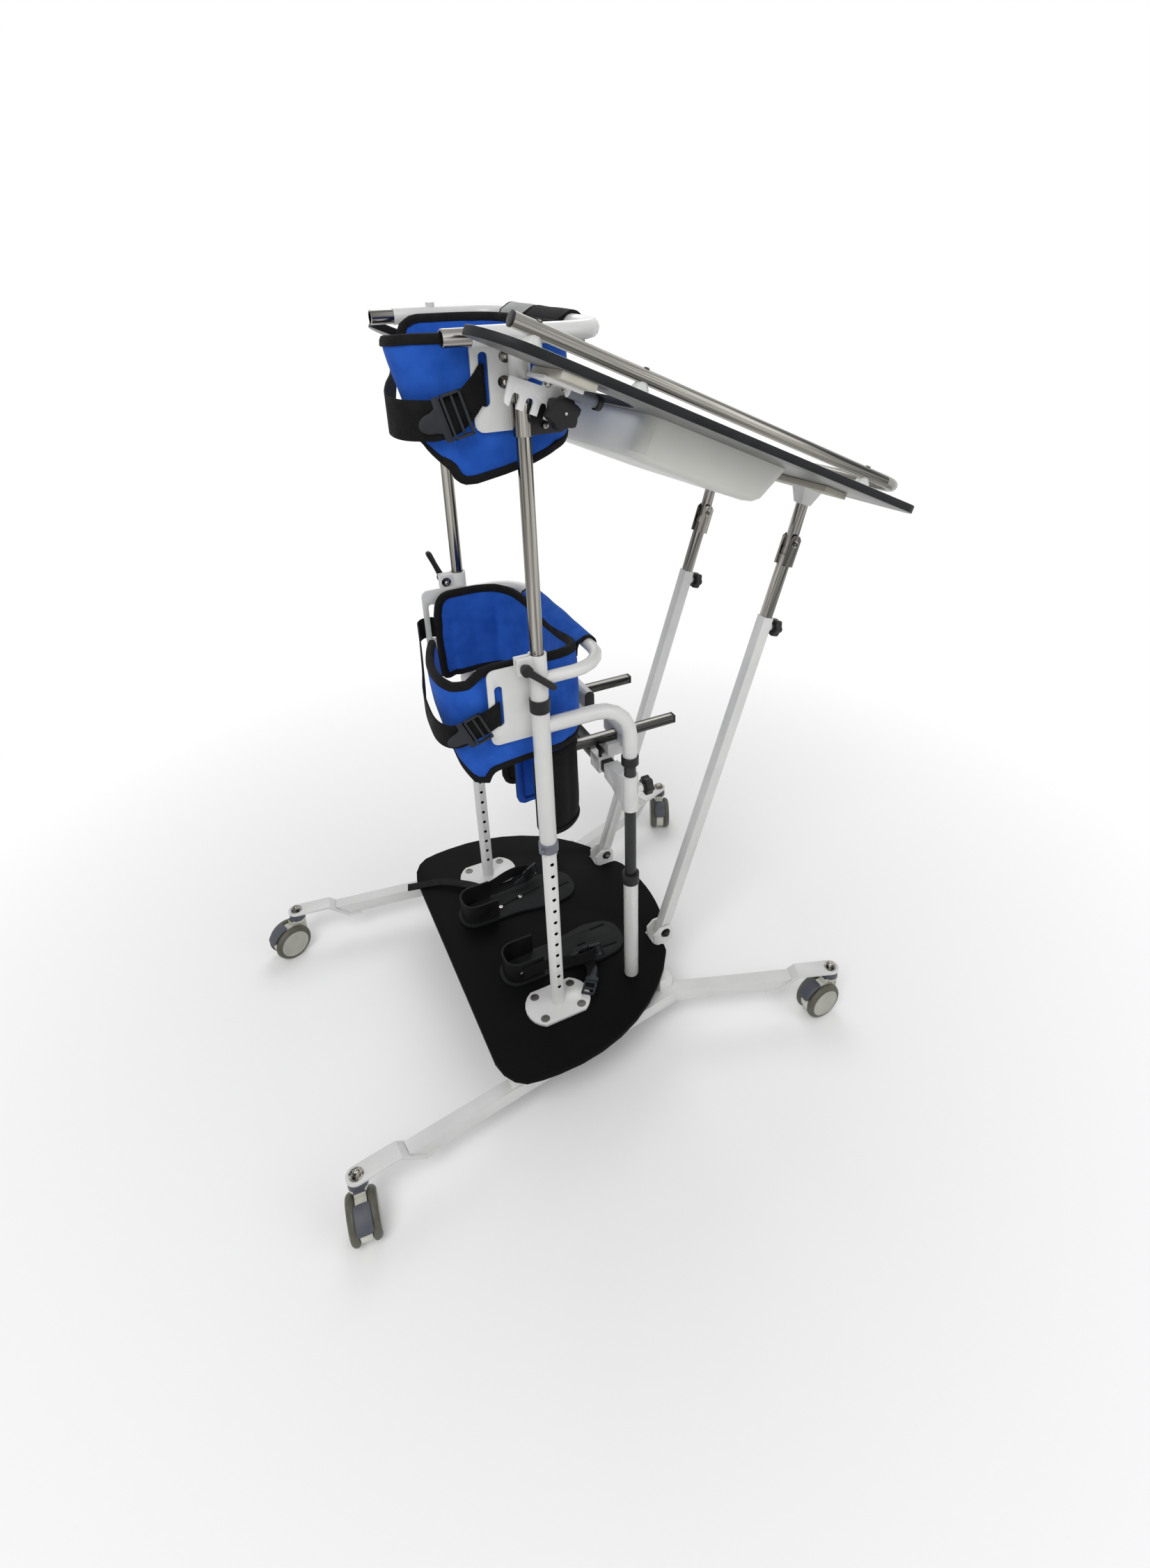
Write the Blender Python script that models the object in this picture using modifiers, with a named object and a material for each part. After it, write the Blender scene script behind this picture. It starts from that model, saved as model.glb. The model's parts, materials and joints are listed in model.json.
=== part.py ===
"""Vertical standing frame: wheeled base, two telescoping columns, hip and chest rings, tilting table.

Metres, +Z up, the user faces +Y. Lengths below are from the floor and from the plane of the columns.
"""

import math

import bmesh
import bpy
from mathutils import Matrix, Vector

GAP = 0.0003
SIDES = 16
ORIGIN = Vector((0.0124, 0.0727, 0.0))

COLUMN_X = 0.190
POST_Y = 0.150

PLATE_TOP = 0.130
PLATE_THICK = 0.0125
PLATE_RADIUS = 0.317
PLATE_CENTRE_Y = -0.030
PLATE_REAR_Y = -0.142

LEG = 0.025
LEG_TOP = 0.092
STRIP_TOP = 0.100
STRIP_THICK = 0.005
STRIP_WIDE = 0.032
CASTER_REAR = (0.3132, -0.388)
CASTER_FRONT = (0.334, 0.5093)
LEG_REAR_ROOT = (0.228, 0.215)
LEG_FRONT_ROOT = (0.216, 0.193)
LEG_RUN_OUT = 0.105
CROSS_REAR_Y = -0.115
CROSS_REAR_HALF = 0.285
CROSS_FRONT_Y = 0.205
CROSS_FRONT_HALF = 0.226

WHEEL_RADIUS = 0.0375
WHEEL_INNER = 0.0102
WHEEL_OUTER = 0.0240
AXLE_RADIUS = 0.004
TRAIL = 0.025
HOOD_RADIUS = 0.034
HOOD_HALF = 0.009
STEM_RADIUS = 0.005
HEADINGS = {
    "rear_right": -5.0,
    "front_right": -88.0,
    "rear_left": -70.0,
    "front_left": -26.0,
}

FOOT_RADIUS = 0.012
FOOT_BORE = 0.0105
FOOT_TOP = 0.700
FLANGE_THICK = 0.005
FLANGE_HALF = 0.039
FLANGE_STRAIGHT = 0.038
FLANGE_REACH = 0.060
PIN_RADIUS = 0.0037
PIN_PITCH = 0.025
PIN_FIRST = 0.181
PIN_COUNT = 12

OUTER_RADIUS = 0.014
OUTER_LOW = 0.488
OUTER_TOP = 0.7627
BENT_RADIUS = 0.0125
BENT_Z = 0.712
BENT_END = 0.600
BENT_BEND = 0.060
POST_RADIUS = 0.013
POST_COLLAR = 0.015
POST_TOP = 0.370
INNER_RADIUS = 0.010
INNER_LOW = 0.170
INNER_TOP = 0.640

CHROME_RADIUS = 0.010
CHROME_LOW = 0.500
CHEST_RING_Z = 1.266
CHROME_TOP = CHEST_RING_Z - 0.021

SLEEVE_RADIUS = 0.014
HIP_LOW = OUTER_TOP + GAP
HIP_TOP = 0.835
HIP_RING_Z = 0.7925
HIP_RING_RADIUS = 0.010
HIP_FRONT_Y = 0.115
CHEST_RING_RADIUS = 0.0125
CHEST_FRONT_Y = 0.120
CHEST_END_Y = -0.060
CHEST_TIP_Y = -0.095
SOCKET_RADIUS = 0.0135
SOCKET_LOW = CHEST_RING_Z - 0.051
RING_BEND = 0.060
SIDE_PLATE = (0.1715, 0.1755)
PAD_OUTER = SIDE_PLATE[0] - GAP

HIP_PLATE = (-0.0735, 0.012, 0.690, 0.8145)
HIP_SLOT = (-0.0635, -0.0515, 0.7215, 0.788)
CHEST_PLATE = (-0.0575, 0.014, CHEST_RING_Z - 0.116, CHEST_RING_Z - 0.004)
CHEST_SLOT = (-0.0475, -0.0355, CHEST_RING_Z - 0.0845, CHEST_RING_Z - 0.019)

HIP_PAD = (0.647, 0.822)
CHEST_PAD = (CHEST_RING_Z - 0.179, CHEST_RING_Z + 0.002)
PAD_THICK = 0.018
PAD_SIDE = PAD_OUTER - PAD_THICK / 2
HIP_SAG = 0.014
# Points of the pads' wings: X, Y, rise of the lower edge, drop of the upper edge, inward lean below.
CHEST_RIGHT_WING = (
    (0.055, -0.118, 0.098, 0.012, 0.018),
    (0.080, -0.133, 0.091, 0.008, 0.022),
    (0.108, -0.1425, 0.083, 0.004, 0.026),
    (0.132, -0.139, 0.071, 0.002, 0.022),
    (0.148, -0.120, 0.050, 0.0, 0.012),
    (0.157, -0.090, 0.017, 0.0, 0.003),
    (PAD_SIDE, -0.058, 0.0, 0.0, 0.0),
)
CHEST_LEFT_WING = (
    (0.148, -0.066, 0.045, 0.022, 0.0),
    (0.157, -0.056, 0.030, 0.010, 0.0),
    (0.1605, -0.042, 0.014, 0.002, 0.0),
    (PAD_SIDE, -0.030, 0.004, 0.0, 0.0),
)
CHEST_FRONT = (
    (0.006, 0.0),
    (0.016, 0.0),
    (0.028, 0.0),
    (0.034, 0.0),
    (0.035, 0.0),
    (0.036, 0.0),
    (0.036, 0.0),
)
HIP_RIGHT_WING = (
    (-0.012, -0.100, 0.080, 0.022, 0.004),
    (0.030, -0.1165, 0.078, 0.022, 0.006),
    (0.0735, -0.127, 0.070, 0.022, 0.008),
    (0.1195, -0.1285, 0.050, 0.022, 0.008),
    (0.145, -0.118, 0.008, 0.025, 0.006),
    (0.158, -0.100, -0.020, 0.021, 0.002),
    (0.1615, -0.080, -0.022, 0.004, 0.0),
    (PAD_SIDE, -0.058, -0.006, 0.0, 0.0),
)
HIP_LEFT_WING = (
    (0.150, -0.058, 0.0, 0.016, 0.0),
    (0.1555, -0.050, -0.002, 0.008, 0.0),
    (0.160, -0.040, -0.002, 0.002, 0.0),
    (PAD_SIDE, -0.030, 0.0, 0.0, 0.0),
)
HIP_FRONT = (
    (-0.002, 0.0),
    (0.0, 0.0),
    (0.0, 0.002),
    (0.0, 0.008),
    (0.0, 0.018),
    (0.0, 0.024),
    (0.0, 0.026),
)
STRAP_THICK = 0.0024
HIP_STRAP_Z = 0.7427
HIP_STRAP_TALL = 0.039
CHEST_STRAP_Z = CHEST_RING_Z - 0.0575
CHEST_STRAP_TALL = 0.050
# Points of the straps behind the plates: X, Y, fall below the height in the slots.
CHEST_STRAP_ROUTE = (
    (0.1765, -0.078, 0.030),
    (0.172, -0.104, 0.038),
    (0.163, -0.126, 0.038),
    (0.146, -0.142, 0.038),
    (0.121, -0.1495, 0.037),
    (0.095, -0.147, 0.035),
    (0.050, -0.134, 0.030),
    (0.0, -0.1165, 0.026),
    (-0.050, -0.103, 0.020),
    (-0.100, -0.0895, 0.014),
    (-0.145, -0.0775, 0.010),
    (-0.168, -0.0705, 0.006),
)
HIP_STRAP_ROUTE = (
    (0.1765, -0.094, 0.012),
    (0.172, -0.116, 0.022),
    (0.158, -0.134, 0.026),
    (0.134, -0.144, 0.024),
    (0.100, -0.1445, 0.018),
    (0.060, -0.140, 0.012),
    (0.010, -0.127, 0.008),
    (-0.050, -0.113, 0.006),
    (-0.100, -0.1015, 0.004),
    (-0.145, -0.0915, 0.002),
    (-0.168, -0.0865, 0.001),
)

KNEE_SLEEVE_RADIUS = 0.0135
KNEE_LOW = 0.508
KNEE_HIGH = 0.577
KNEE_Z = 0.545
CROSSBAR = 0.020
BRACKET = 0.027
CARRIER_X = 0.085
CARRIER_Y = 0.186
CARRIER_Z = 0.590
BAR = 0.015
BAR_END_Y = 0.295
KNEE_PAD = (0.465, 0.625)
KNEE_PAD_BACK = 0.098
KNEE_PAD_SINK = 0.0033

TABLE_TILT = 23.77
TABLE_LEAN = 3.2
HINGE_Y = 0.0345
HINGE_Z = CHEST_RING_Z - 0.103
BOARD_LOW = 0.0415
BOARD_THICK = 0.0125
BOARD_HALF = 0.300
BOARD_REAR = -0.148
BOARD_FRONT = 0.598
NOTCH_HALF = 0.216
NOTCH_FRONT = 0.125
RAIL_RADIUS = 0.0095
RAIL_X = 0.265
RAIL_RISE = 0.020
RAIL_REAR = -0.1127
RAIL_FRONT = 0.583
SPACERS = (-0.080, 0.072, 0.490)
BASIN_REAR = 0.138
BASIN_FRONT = 0.410
BASIN_HALF = 0.200
BASIN_DEPTH = 0.065
BASIN_LEAN = 0.027
BASIN_WALL = 0.004
BLOCK_THICK = 0.010
BLOCK = (-0.048, 0.000)
COMB_X = 0.2065
COMB_THICK = 0.005
COMB_PITCH = 0.0195
CLAMP_RADIUS = 0.0135
STUD_RADIUS = 0.003
TABLE_STUD = 0.0022
COMB_SLOT = 0.0052

STRUT_X = 0.130
STRUT = 0.020
SLIDER = 0.016
PIVOT_Y = 0.250
PIVOT_Z = 0.142
PIVOT_RADIUS = 0.004
STRUT_TOP = 0.663
STRUT_KNOB_AT = 0.645
KNUCKLE = (0.5247, -0.0612)
HEAD_Y = 0.511
UPPER_TUBE = 0.015

SANDAL_X = {"right": 0.092, "left": -0.086}
SANDAL_Y = {"right": 0.052, "left": 0.028}
SOLE_THICK = 0.006
SOLE_LENGTH = 0.248
SOLE_WIDE = 0.096
HEEL_TALL = 0.050

SIDES_OF = (("right", 1.0), ("left", -1.0))

WHITE = (0.84, 0.84, 0.83)
BLACK = (0.02, 0.02, 0.022)
CHARCOAL = (0.05, 0.055, 0.06)
CHROME = (0.72, 0.71, 0.68)
BLUE = (0.03, 0.10, 0.50)
WOOD = (0.62, 0.56, 0.46)
MILK = (0.80, 0.82, 0.79)
OLIVE = (0.08, 0.085, 0.06)

for old in list(bpy.data.objects):
    bpy.data.objects.remove(old, do_unlink=True)
parts = bpy.data.collections.new("StandingFrame")
tools = bpy.data.collections.new("Cutters")
bpy.context.scene.collection.children.link(parts)
bpy.context.scene.collection.children.link(tools)
root = bpy.data.objects.new("standing_frame", None)
parts.objects.link(root)
root.location = -ORIGIN


def bore(radius):
    """Radius of a hole of SIDES sides that clears a rod of this radius by GAP."""
    return (radius + GAP) / math.cos(math.pi / SIDES)


def keep(mesh, name, tool):
    obj = bpy.data.objects.new(name, mesh)
    if tool:
        tools.objects.link(obj)
        obj.hide_render = True
        obj.display_type = "WIRE"
    else:
        parts.objects.link(obj)
    obj.parent = root
    return obj


def solid(bm, name, frame=None, tool=False):
    if frame is not None:
        bmesh.ops.transform(bm, matrix=frame, verts=bm.verts)
    bmesh.ops.recalc_face_normals(bm, faces=bm.faces)
    mesh = bpy.data.meshes.new(name)
    bm.to_mesh(mesh)
    bm.free()
    return keep(mesh, name, tool)


def box(name, low, high, frame=None, tool=False):
    bm = bmesh.new()
    size = Vector(high) - Vector(low)
    middle = (Vector(high) + Vector(low)) / 2
    place = Matrix.Translation(middle) @ Matrix.Diagonal((*size, 1.0))
    bmesh.ops.create_cube(bm, size=1.0, matrix=place)
    return solid(bm, name, frame, tool)


def rod(name, start, end, radius, frame=None, tool=False, sides=SIDES, tip=None):
    bm = bmesh.new()
    start = Vector(start)
    along = Vector(end) - start
    turn = along.to_track_quat("Z", "Y").to_matrix().to_4x4()
    bmesh.ops.create_cone(
        bm,
        cap_ends=True,
        segments=sides,
        radius1=radius,
        radius2=radius if tip is None else tip,
        depth=along.length,
        matrix=Matrix.Translation(start + along / 2) @ turn,
    )
    return solid(bm, name, frame, tool)


def rods(name, ends, radius, tool=True, sides=6):
    """Several separate rods in one cutter."""
    bm = bmesh.new()
    for start, end in ends:
        start = Vector(start)
        along = Vector(end) - start
        turn = along.to_track_quat("Z", "Y").to_matrix().to_4x4()
        bmesh.ops.create_cone(
            bm,
            cap_ends=True,
            segments=sides,
            radius1=radius,
            radius2=radius,
            depth=along.length,
            matrix=Matrix.Translation(start + along / 2) @ turn,
        )
    return solid(bm, name, None, tool)


def axis_point(axis, u, v, w):
    if axis == "X":
        return Vector((w, u, v))
    if axis == "Y":
        return Vector((u, w, v))
    return Vector((u, v, w))


def prism(name, outline, axis, low, high, frame=None, tool=False):
    """A flat outline pushed along an axis, its two coordinates being the other axes in order."""
    bm = bmesh.new()
    first = [bm.verts.new(axis_point(axis, u, v, low)) for u, v in outline]
    last = [bm.verts.new(axis_point(axis, u, v, high)) for u, v in outline]
    bm.faces.new(first)
    bm.faces.new(last)
    for i in range(len(outline)):
        j = (i + 1) % len(outline)
        bm.faces.new((first[i], first[j], last[j], last[i]))
    return solid(bm, name, frame, tool)


def loft(name, loops, frame=None, tool=False):
    """Closed loops of equal count joined in turn, with a face over each end."""
    bm = bmesh.new()
    rings = [[bm.verts.new(point) for point in loop] for loop in loops]
    bm.faces.new(rings[0])
    bm.faces.new(rings[-1])
    for lower, upper in zip(rings, rings[1:]):
        for i in range(len(lower)):
            j = (i + 1) % len(lower)
            bm.faces.new((lower[i], lower[j], upper[j], upper[i]))
    return solid(bm, name, frame, tool)


def corner(before, at, after, radius, steps):
    to_before = (before - at).normalized()
    to_after = (after - at).normalized()
    half = to_before.angle(to_after) / 2
    reach = radius / math.tan(half)
    centre = at + (to_before + to_after).normalized() * radius / math.sin(half)
    first = at + to_before * reach - centre
    last = at + to_after * reach - centre
    return [centre + first.slerp(last, i / steps).normalized() * radius for i in range(steps + 1)]


def rounded(points, radius, steps=5):
    """An open path with its inner corners rounded."""
    points = [Vector(point) for point in points]
    path = [points[0]]
    for before, at, after in zip(points, points[1:], points[2:]):
        path += corner(before, at, after, radius, steps)
    return path + [points[-1]]


def outline_of(corners, steps=6):
    """A closed flat outline from (x, y, radius) corners."""
    flat = [Vector((x, y, 0.0)) for x, y, _ in corners]
    outline = []
    for i, (_, _, radius) in enumerate(corners):
        if radius:
            turned_at = corner(flat[i - 1], flat[i], flat[(i + 1) % len(flat)], radius, steps)
            outline += [(p.x, p.y) for p in turned_at]
        else:
            outline.append((flat[i].x, flat[i].y))
    return outline


def rectangle(low_x, high_x, low_y, high_y, radius, steps=4):
    return outline_of(
        [
            (low_x, low_y, radius),
            (high_x, low_y, radius),
            (high_x, high_y, radius),
            (low_x, high_y, radius),
        ],
        steps,
    )


def tube(name, points, radius, frame=None, tool=False, sides=12):
    """A round tube along a path, as a mesh."""
    data = bpy.data.curves.new(name, "CURVE")
    data.dimensions = "3D"
    data.bevel_depth = radius
    data.bevel_resolution = (sides - 4) // 2
    data.use_fill_caps = True
    spline = data.splines.new("POLY")
    spline.points.add(len(points) - 1)
    for slot, point in zip(spline.points, points):
        slot.co = (*point, 1.0)
    curve = bpy.data.objects.new(name + "_path", data)
    tools.objects.link(curve)
    bpy.context.view_layer.update()
    graph = bpy.context.evaluated_depsgraph_get()
    mesh = bpy.data.meshes.new_from_object(curve.evaluated_get(graph))
    bpy.data.objects.remove(curve, do_unlink=True)
    bm = bmesh.new()
    bm.from_mesh(mesh)
    bmesh.ops.remove_doubles(bm, verts=bm.verts, dist=0.00001)
    return solid(bm, name, frame, tool)


def turned(name, profile, frame, steps=20):
    """A round shape from (radius, height) points that run down its outer side."""
    mesh = bpy.data.meshes.new(name)
    points = [(radius, 0.0, height) for radius, height in profile]
    mesh.from_pydata(points, [(i, i + 1) for i in range(len(points) - 1)], [])
    obj = keep(mesh, name, False)
    obj.matrix_local = frame
    screw = obj.modifiers.new("Turn", "SCREW")
    screw.steps = steps
    screw.render_steps = steps
    screw.use_merge_vertices = True
    screw.merge_threshold = 0.0001
    return obj


def ribbon(name, path, low, high, thick, falls):
    """An upright band along a plan path, lower by the given fall at each point."""
    bm = bmesh.new()
    rings = []
    for i, point in enumerate(path):
        before = path[max(i - 1, 0)]
        after = path[min(i + 1, len(path) - 1)]
        along = (after - before).normalized()
        side = Vector((along.y, -along.x, 0.0)) * thick / 2
        ring = []
        for offset, height in ((side, low), (side, high), (-side, high), (-side, low)):
            ring.append(bm.verts.new((point.x + offset.x, point.y + offset.y, height - falls[i])))
        rings.append(ring)
    for lower, upper in zip(rings, rings[1:]):
        for i in range(4):
            j = (i + 1) % 4
            bm.faces.new((lower[i], lower[j], upper[j], upper[i]))
    bm.faces.new(rings[0])
    bm.faces.new(rings[-1])
    return solid(bm, name)


def boolean(obj, other, operation):
    if other.name not in tools.objects:
        parts.objects.unlink(other)
        tools.objects.link(other)
    other.hide_render = True
    other.display_type = "WIRE"
    modifier = obj.modifiers.new(operation.title() + "_" + other.name, "BOOLEAN")
    modifier.operation = operation
    modifier.solver = "EXACT"
    modifier.object = other


def join(obj, *others):
    for other in others:
        boolean(obj, other, "UNION")


def cut(obj, *others):
    for other in others:
        boolean(obj, other, "DIFFERENCE")


def paint(obj, colour, rough=0.4, metal=0.0):
    material = bpy.data.materials.new(obj.name)
    material.use_nodes = True
    shader = material.node_tree.nodes["Principled BSDF"]
    shader.inputs["Base Color"].default_value = (*colour, 1.0)
    shader.inputs["Roughness"].default_value = rough
    shader.inputs["Metallic"].default_value = metal
    obj.data.materials.append(material)


def smooth(obj):
    for face in obj.data.polygons:
        face.use_smooth = True
    obj.data.set_sharp_from_angle(angle=math.radians(40))


def pivot(name, place, *objects):
    """Puts the objects under an empty on the joint axis."""
    empty = bpy.data.objects.new(name, None)
    parts.objects.link(empty)
    empty.parent = root
    empty.location = place
    for obj in objects:
        obj.parent = empty
        obj.matrix_parent_inverse = Matrix.Translation(-Vector(place))
    return empty


def star(name, radius, low, high, frame, lobes=6):
    """A lobed hand knob between two heights."""
    outline = []
    count = lobes * 4
    for i in range(count):
        angle = 2 * math.pi * i / count
        reach = radius * (0.9 + 0.1 * math.cos(lobes * angle))
        outline.append((reach * math.cos(angle), reach * math.sin(angle)))
    return prism(name, outline, "Z", low, high, frame)


# Footplate with a notch for each strut lug.
def plate_outline():
    right = [(0.25, PLATE_REAR_Y)]
    right += [(0.275, -0.136), (0.295, -0.124), (0.308, -0.107), (0.3135, -0.081)]
    start = math.radians(-4)
    for i in range(9):
        angle = start + math.radians(61) * i / 8
        x = PLATE_RADIUS * math.cos(angle)
        right.append((x, PLATE_CENTRE_Y + PLATE_RADIUS * math.sin(angle)))
    notch_rear = CROSS_FRONT_Y + 0.017
    right += [(0.158, 0.2395), (0.155, 0.235), (0.155, notch_rear + 0.006), (0.149, notch_rear)]
    right += [(0.111, notch_rear), (0.105, notch_rear + 0.006), (0.105, 0.262), (0.100, 0.268)]
    for i in range(4):
        angle = math.radians(74 + 16 * i / 4)
        x = PLATE_RADIUS * math.cos(angle)
        right.append((x, PLATE_CENTRE_Y + PLATE_RADIUS * math.sin(angle)))
    middle = [(0.0, PLATE_CENTRE_Y + PLATE_RADIUS)]
    return right + middle + [(-x, y) for x, y in reversed(right)]


footplate = prism("footplate", plate_outline(), "Z", PLATE_TOP - PLATE_THICK, PLATE_TOP)
paint(footplate, BLACK, 0.6)


# Base frame: four legs with a bent strip at each caster, two cross tubes and the strut lugs.
def leg(name, side, start, caster, trim):
    start = Vector((side * start[0], start[1], 0.0))
    end = Vector((side * caster[0], caster[1], 0.0))
    along = end - start
    frame = Matrix.Translation(start) @ along.to_track_quat("X", "Z").to_matrix().to_4x4()
    reach = along.length
    low = LEG_TOP - LEG + trim
    high = LEG_TOP - trim
    mitre = reach - LEG_RUN_OUT
    square = [(0.0, low), (mitre, low), (mitre + LEG, high), (0.0, high)]
    piece = prism(name, square, "Y", -LEG / 2, LEG / 2, frame)
    under = STRIP_TOP - STRIP_THICK
    flat = mitre + STRIP_TOP - low + 0.004
    bent = [
        (mitre - 0.024, low - 0.003),
        (mitre + 0.003, low - 0.003),
        (flat + 0.004, under + 0.0008),
        (flat + 0.006, STRIP_TOP - 0.0012),
        (flat - 0.001, STRIP_TOP - 0.0012),
        (mitre - 0.001, low + 0.002),
        (mitre - 0.024, low + 0.002),
    ]
    wide = STRIP_WIDE / 2
    slope = prism(name + "_slope", bent, "Y", -wide + GAP, wide - GAP, frame)
    tongue = [(flat, -wide), (flat, wide)]
    for i in range(13):
        angle = math.radians(90 - 180 * i / 12)
        tongue.append((reach + wide * math.cos(angle), wide * math.sin(angle)))
    tip = prism(name + "_tip", tongue, "Z", under, STRIP_TOP, frame)
    hole = rod(
        name + "_hole",
        (reach, 0, under - 0.01),
        (reach, 0, STRIP_TOP + 0.01),
        bore(STEM_RADIUS),
        frame,
        True,
    )
    return piece, slope, tip, hole


def lug_cheek(name, low):
    deck = PLATE_TOP - PLATE_THICK
    free = CROSS_FRONT_Y + 0.0195
    outline = [
        (CROSS_FRONT_Y, LEG_TOP + 0.006),
        (CROSS_FRONT_Y + 0.025, LEG_TOP + 0.006),
        (PIVOT_Y + 0.016, PIVOT_Z - 0.018),
        (PIVOT_Y + 0.016, PIVOT_Z + 0.008),
        (PIVOT_Y + 0.008, PIVOT_Z + 0.014),
        (PIVOT_Y - 0.012, PIVOT_Z + 0.014),
        (free, PIVOT_Z + 0.002),
        (free, deck - 0.002),
        (CROSS_FRONT_Y, deck - 0.002),
    ]
    return prism(name, outline, "X", low, low + 0.004)


cross_low = LEG_TOP - 0.0005
cross_high = PLATE_TOP - PLATE_THICK - GAP
base_frame = box(
    "base_frame",
    (-CROSS_FRONT_HALF, CROSS_FRONT_Y - LEG / 2, cross_low),
    (CROSS_FRONT_HALF, CROSS_FRONT_Y + LEG / 2, cross_high),
)
holes = []
for side, s in SIDES_OF:
    for name, start, caster, trim in (
        ("rear", LEG_REAR_ROOT, CASTER_REAR, 0.0),
        ("front", LEG_FRONT_ROOT, CASTER_FRONT, GAP),
    ):
        piece, slope, tip, hole = leg("leg_" + name + "_" + side, s, start, caster, trim)
        join(base_frame, piece, slope, tip)
        holes.append(hole)
    for low in (STRUT / 2 + 0.0015, -STRUT / 2 - 0.0055):
        join(base_frame, lug_cheek("lug_" + side, s * STRUT_X + low))
    pin_reach = STRUT / 2 + 0.004
    join(
        base_frame,
        rod(
            "lug_pin_" + side,
            (s * STRUT_X - pin_reach, PIVOT_Y, PIVOT_Z),
            (s * STRUT_X + pin_reach, PIVOT_Y, PIVOT_Z),
            PIVOT_RADIUS,
            sides=12,
        ),
    )
join(
    base_frame,
    box(
        "cross_rear",
        (-CROSS_REAR_HALF, CROSS_REAR_Y - LEG / 2, cross_low),
        (CROSS_REAR_HALF, CROSS_REAR_Y + LEG / 2, cross_high),
    ),
)
cut(base_frame, *holes)
paint(base_frame, WHITE, 0.3)


# Casters: hood with stem, twin wheels on one axle, brake pedal.
def caster(name, place, heading):
    frame = Matrix.Translation((*place, 0.0)) @ Matrix.Rotation(math.radians(heading), 4, "Z")
    under = STRIP_TOP - STRIP_THICK - GAP
    hood = rod(
        "caster_" + name + "_hood",
        (TRAIL, -HOOD_HALF, WHEEL_RADIUS),
        (TRAIL, HOOD_HALF, WHEEL_RADIUS),
        HOOD_RADIUS,
        frame,
        sides=20,
    )
    ring_low = 2 * WHEEL_RADIUS + 0.003
    neck = box(
        name + "_neck",
        (-0.012, -HOOD_HALF + 0.0005, 0.046),
        (0.018, HOOD_HALF - 0.0005, ring_low + 0.004),
        frame,
    )
    ring = rod(name + "_ring", (0, 0, ring_low), (0, 0, under), 0.015, frame, sides=12)
    stem = rod(name + "_stem", (0, 0, under - 0.005), (0, 0, 0.106), STEM_RADIUS, frame, sides=8)
    nut = rod(
        name + "_nut",
        (0, 0, STRIP_TOP + GAP),
        (0, 0, STRIP_TOP + 0.010),
        0.009,
        frame,
        tip=0.005,
        sides=10,
    )
    join(hood, neck, ring, stem, nut)
    hole = rod(
        name + "_axle_hole",
        (TRAIL, -0.02, WHEEL_RADIUS),
        (TRAIL, 0.02, WHEEL_RADIUS),
        bore(AXLE_RADIUS),
        frame,
        True,
    )
    cut(hood, hole)
    smooth(hood)
    paint(hood, MILK, 0.35)
    half = [
        (0.0, WHEEL_OUTER),
        (0.026, WHEEL_OUTER),
        (WHEEL_RADIUS - 0.004, WHEEL_OUTER - 0.0015),
        (WHEEL_RADIUS, WHEEL_OUTER - 0.005),
        (WHEEL_RADIUS, WHEEL_INNER + 0.004),
        (WHEEL_RADIUS - 0.004, WHEEL_INNER),
        (AXLE_RADIUS, WHEEL_INNER),
    ]
    profile = half + [(radius, -height) for radius, height in reversed(half)]
    place_wheels = frame @ Matrix.Translation((TRAIL, 0.0, WHEEL_RADIUS))
    wheels = turned(
        "caster_" + name + "_wheels",
        profile,
        place_wheels @ Matrix.Rotation(math.radians(90), 4, "X"),
    )
    smooth(wheels)
    paint(wheels, OLIVE, 0.6)
    sector = []
    inner = HOOD_RADIUS + 0.0006
    for i in range(7):
        angle = math.radians(22 + 58 * i / 6)
        sector.append((inner * math.cos(angle), inner * math.sin(angle)))
    for i in range(7):
        angle = math.radians(80 - 58 * i / 6)
        reach = inner + 0.005 + 0.003 * i / 6
        sector.append((reach * math.cos(angle), reach * math.sin(angle)))
    pedal = prism("caster_" + name + "_pedal", sector, "Y", -0.0095, 0.0095, place_wheels)
    paint(pedal, CHARCOAL, 0.5)
    pivot(name + "_swivel", (*place, 0.0), hood)
    heel = math.radians(80)
    reach = inner + 0.003
    pivot(
        name + "_pedal_axis",
        place_wheels @ Vector((reach * math.cos(heel), 0.0, reach * math.sin(heel))),
        pedal,
    )


for side, s in SIDES_OF:
    for name, place in (("rear", CASTER_REAR), ("front", CASTER_FRONT)):
        caster(name + "_" + side, (s * place[0], place[1]), HEADINGS[name + "_" + side])

# Columns: perforated foot tube, outer column with its bent tube, guide post and inner post.
def flange_outline(x):
    rise = FLANGE_REACH - FLANGE_STRAIGHT
    radius = (FLANGE_HALF ** 2 + rise ** 2) / (2 * rise)
    sweep = math.asin(FLANGE_HALF / radius)
    outline = []
    for end in (-1, 1):
        for i in range(9):
            angle = -end * sweep * (i / 4 - 1)
            y = FLANGE_REACH - radius + radius * math.cos(angle)
            outline.append((x + radius * math.sin(angle), end * y))
    return outline


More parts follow.
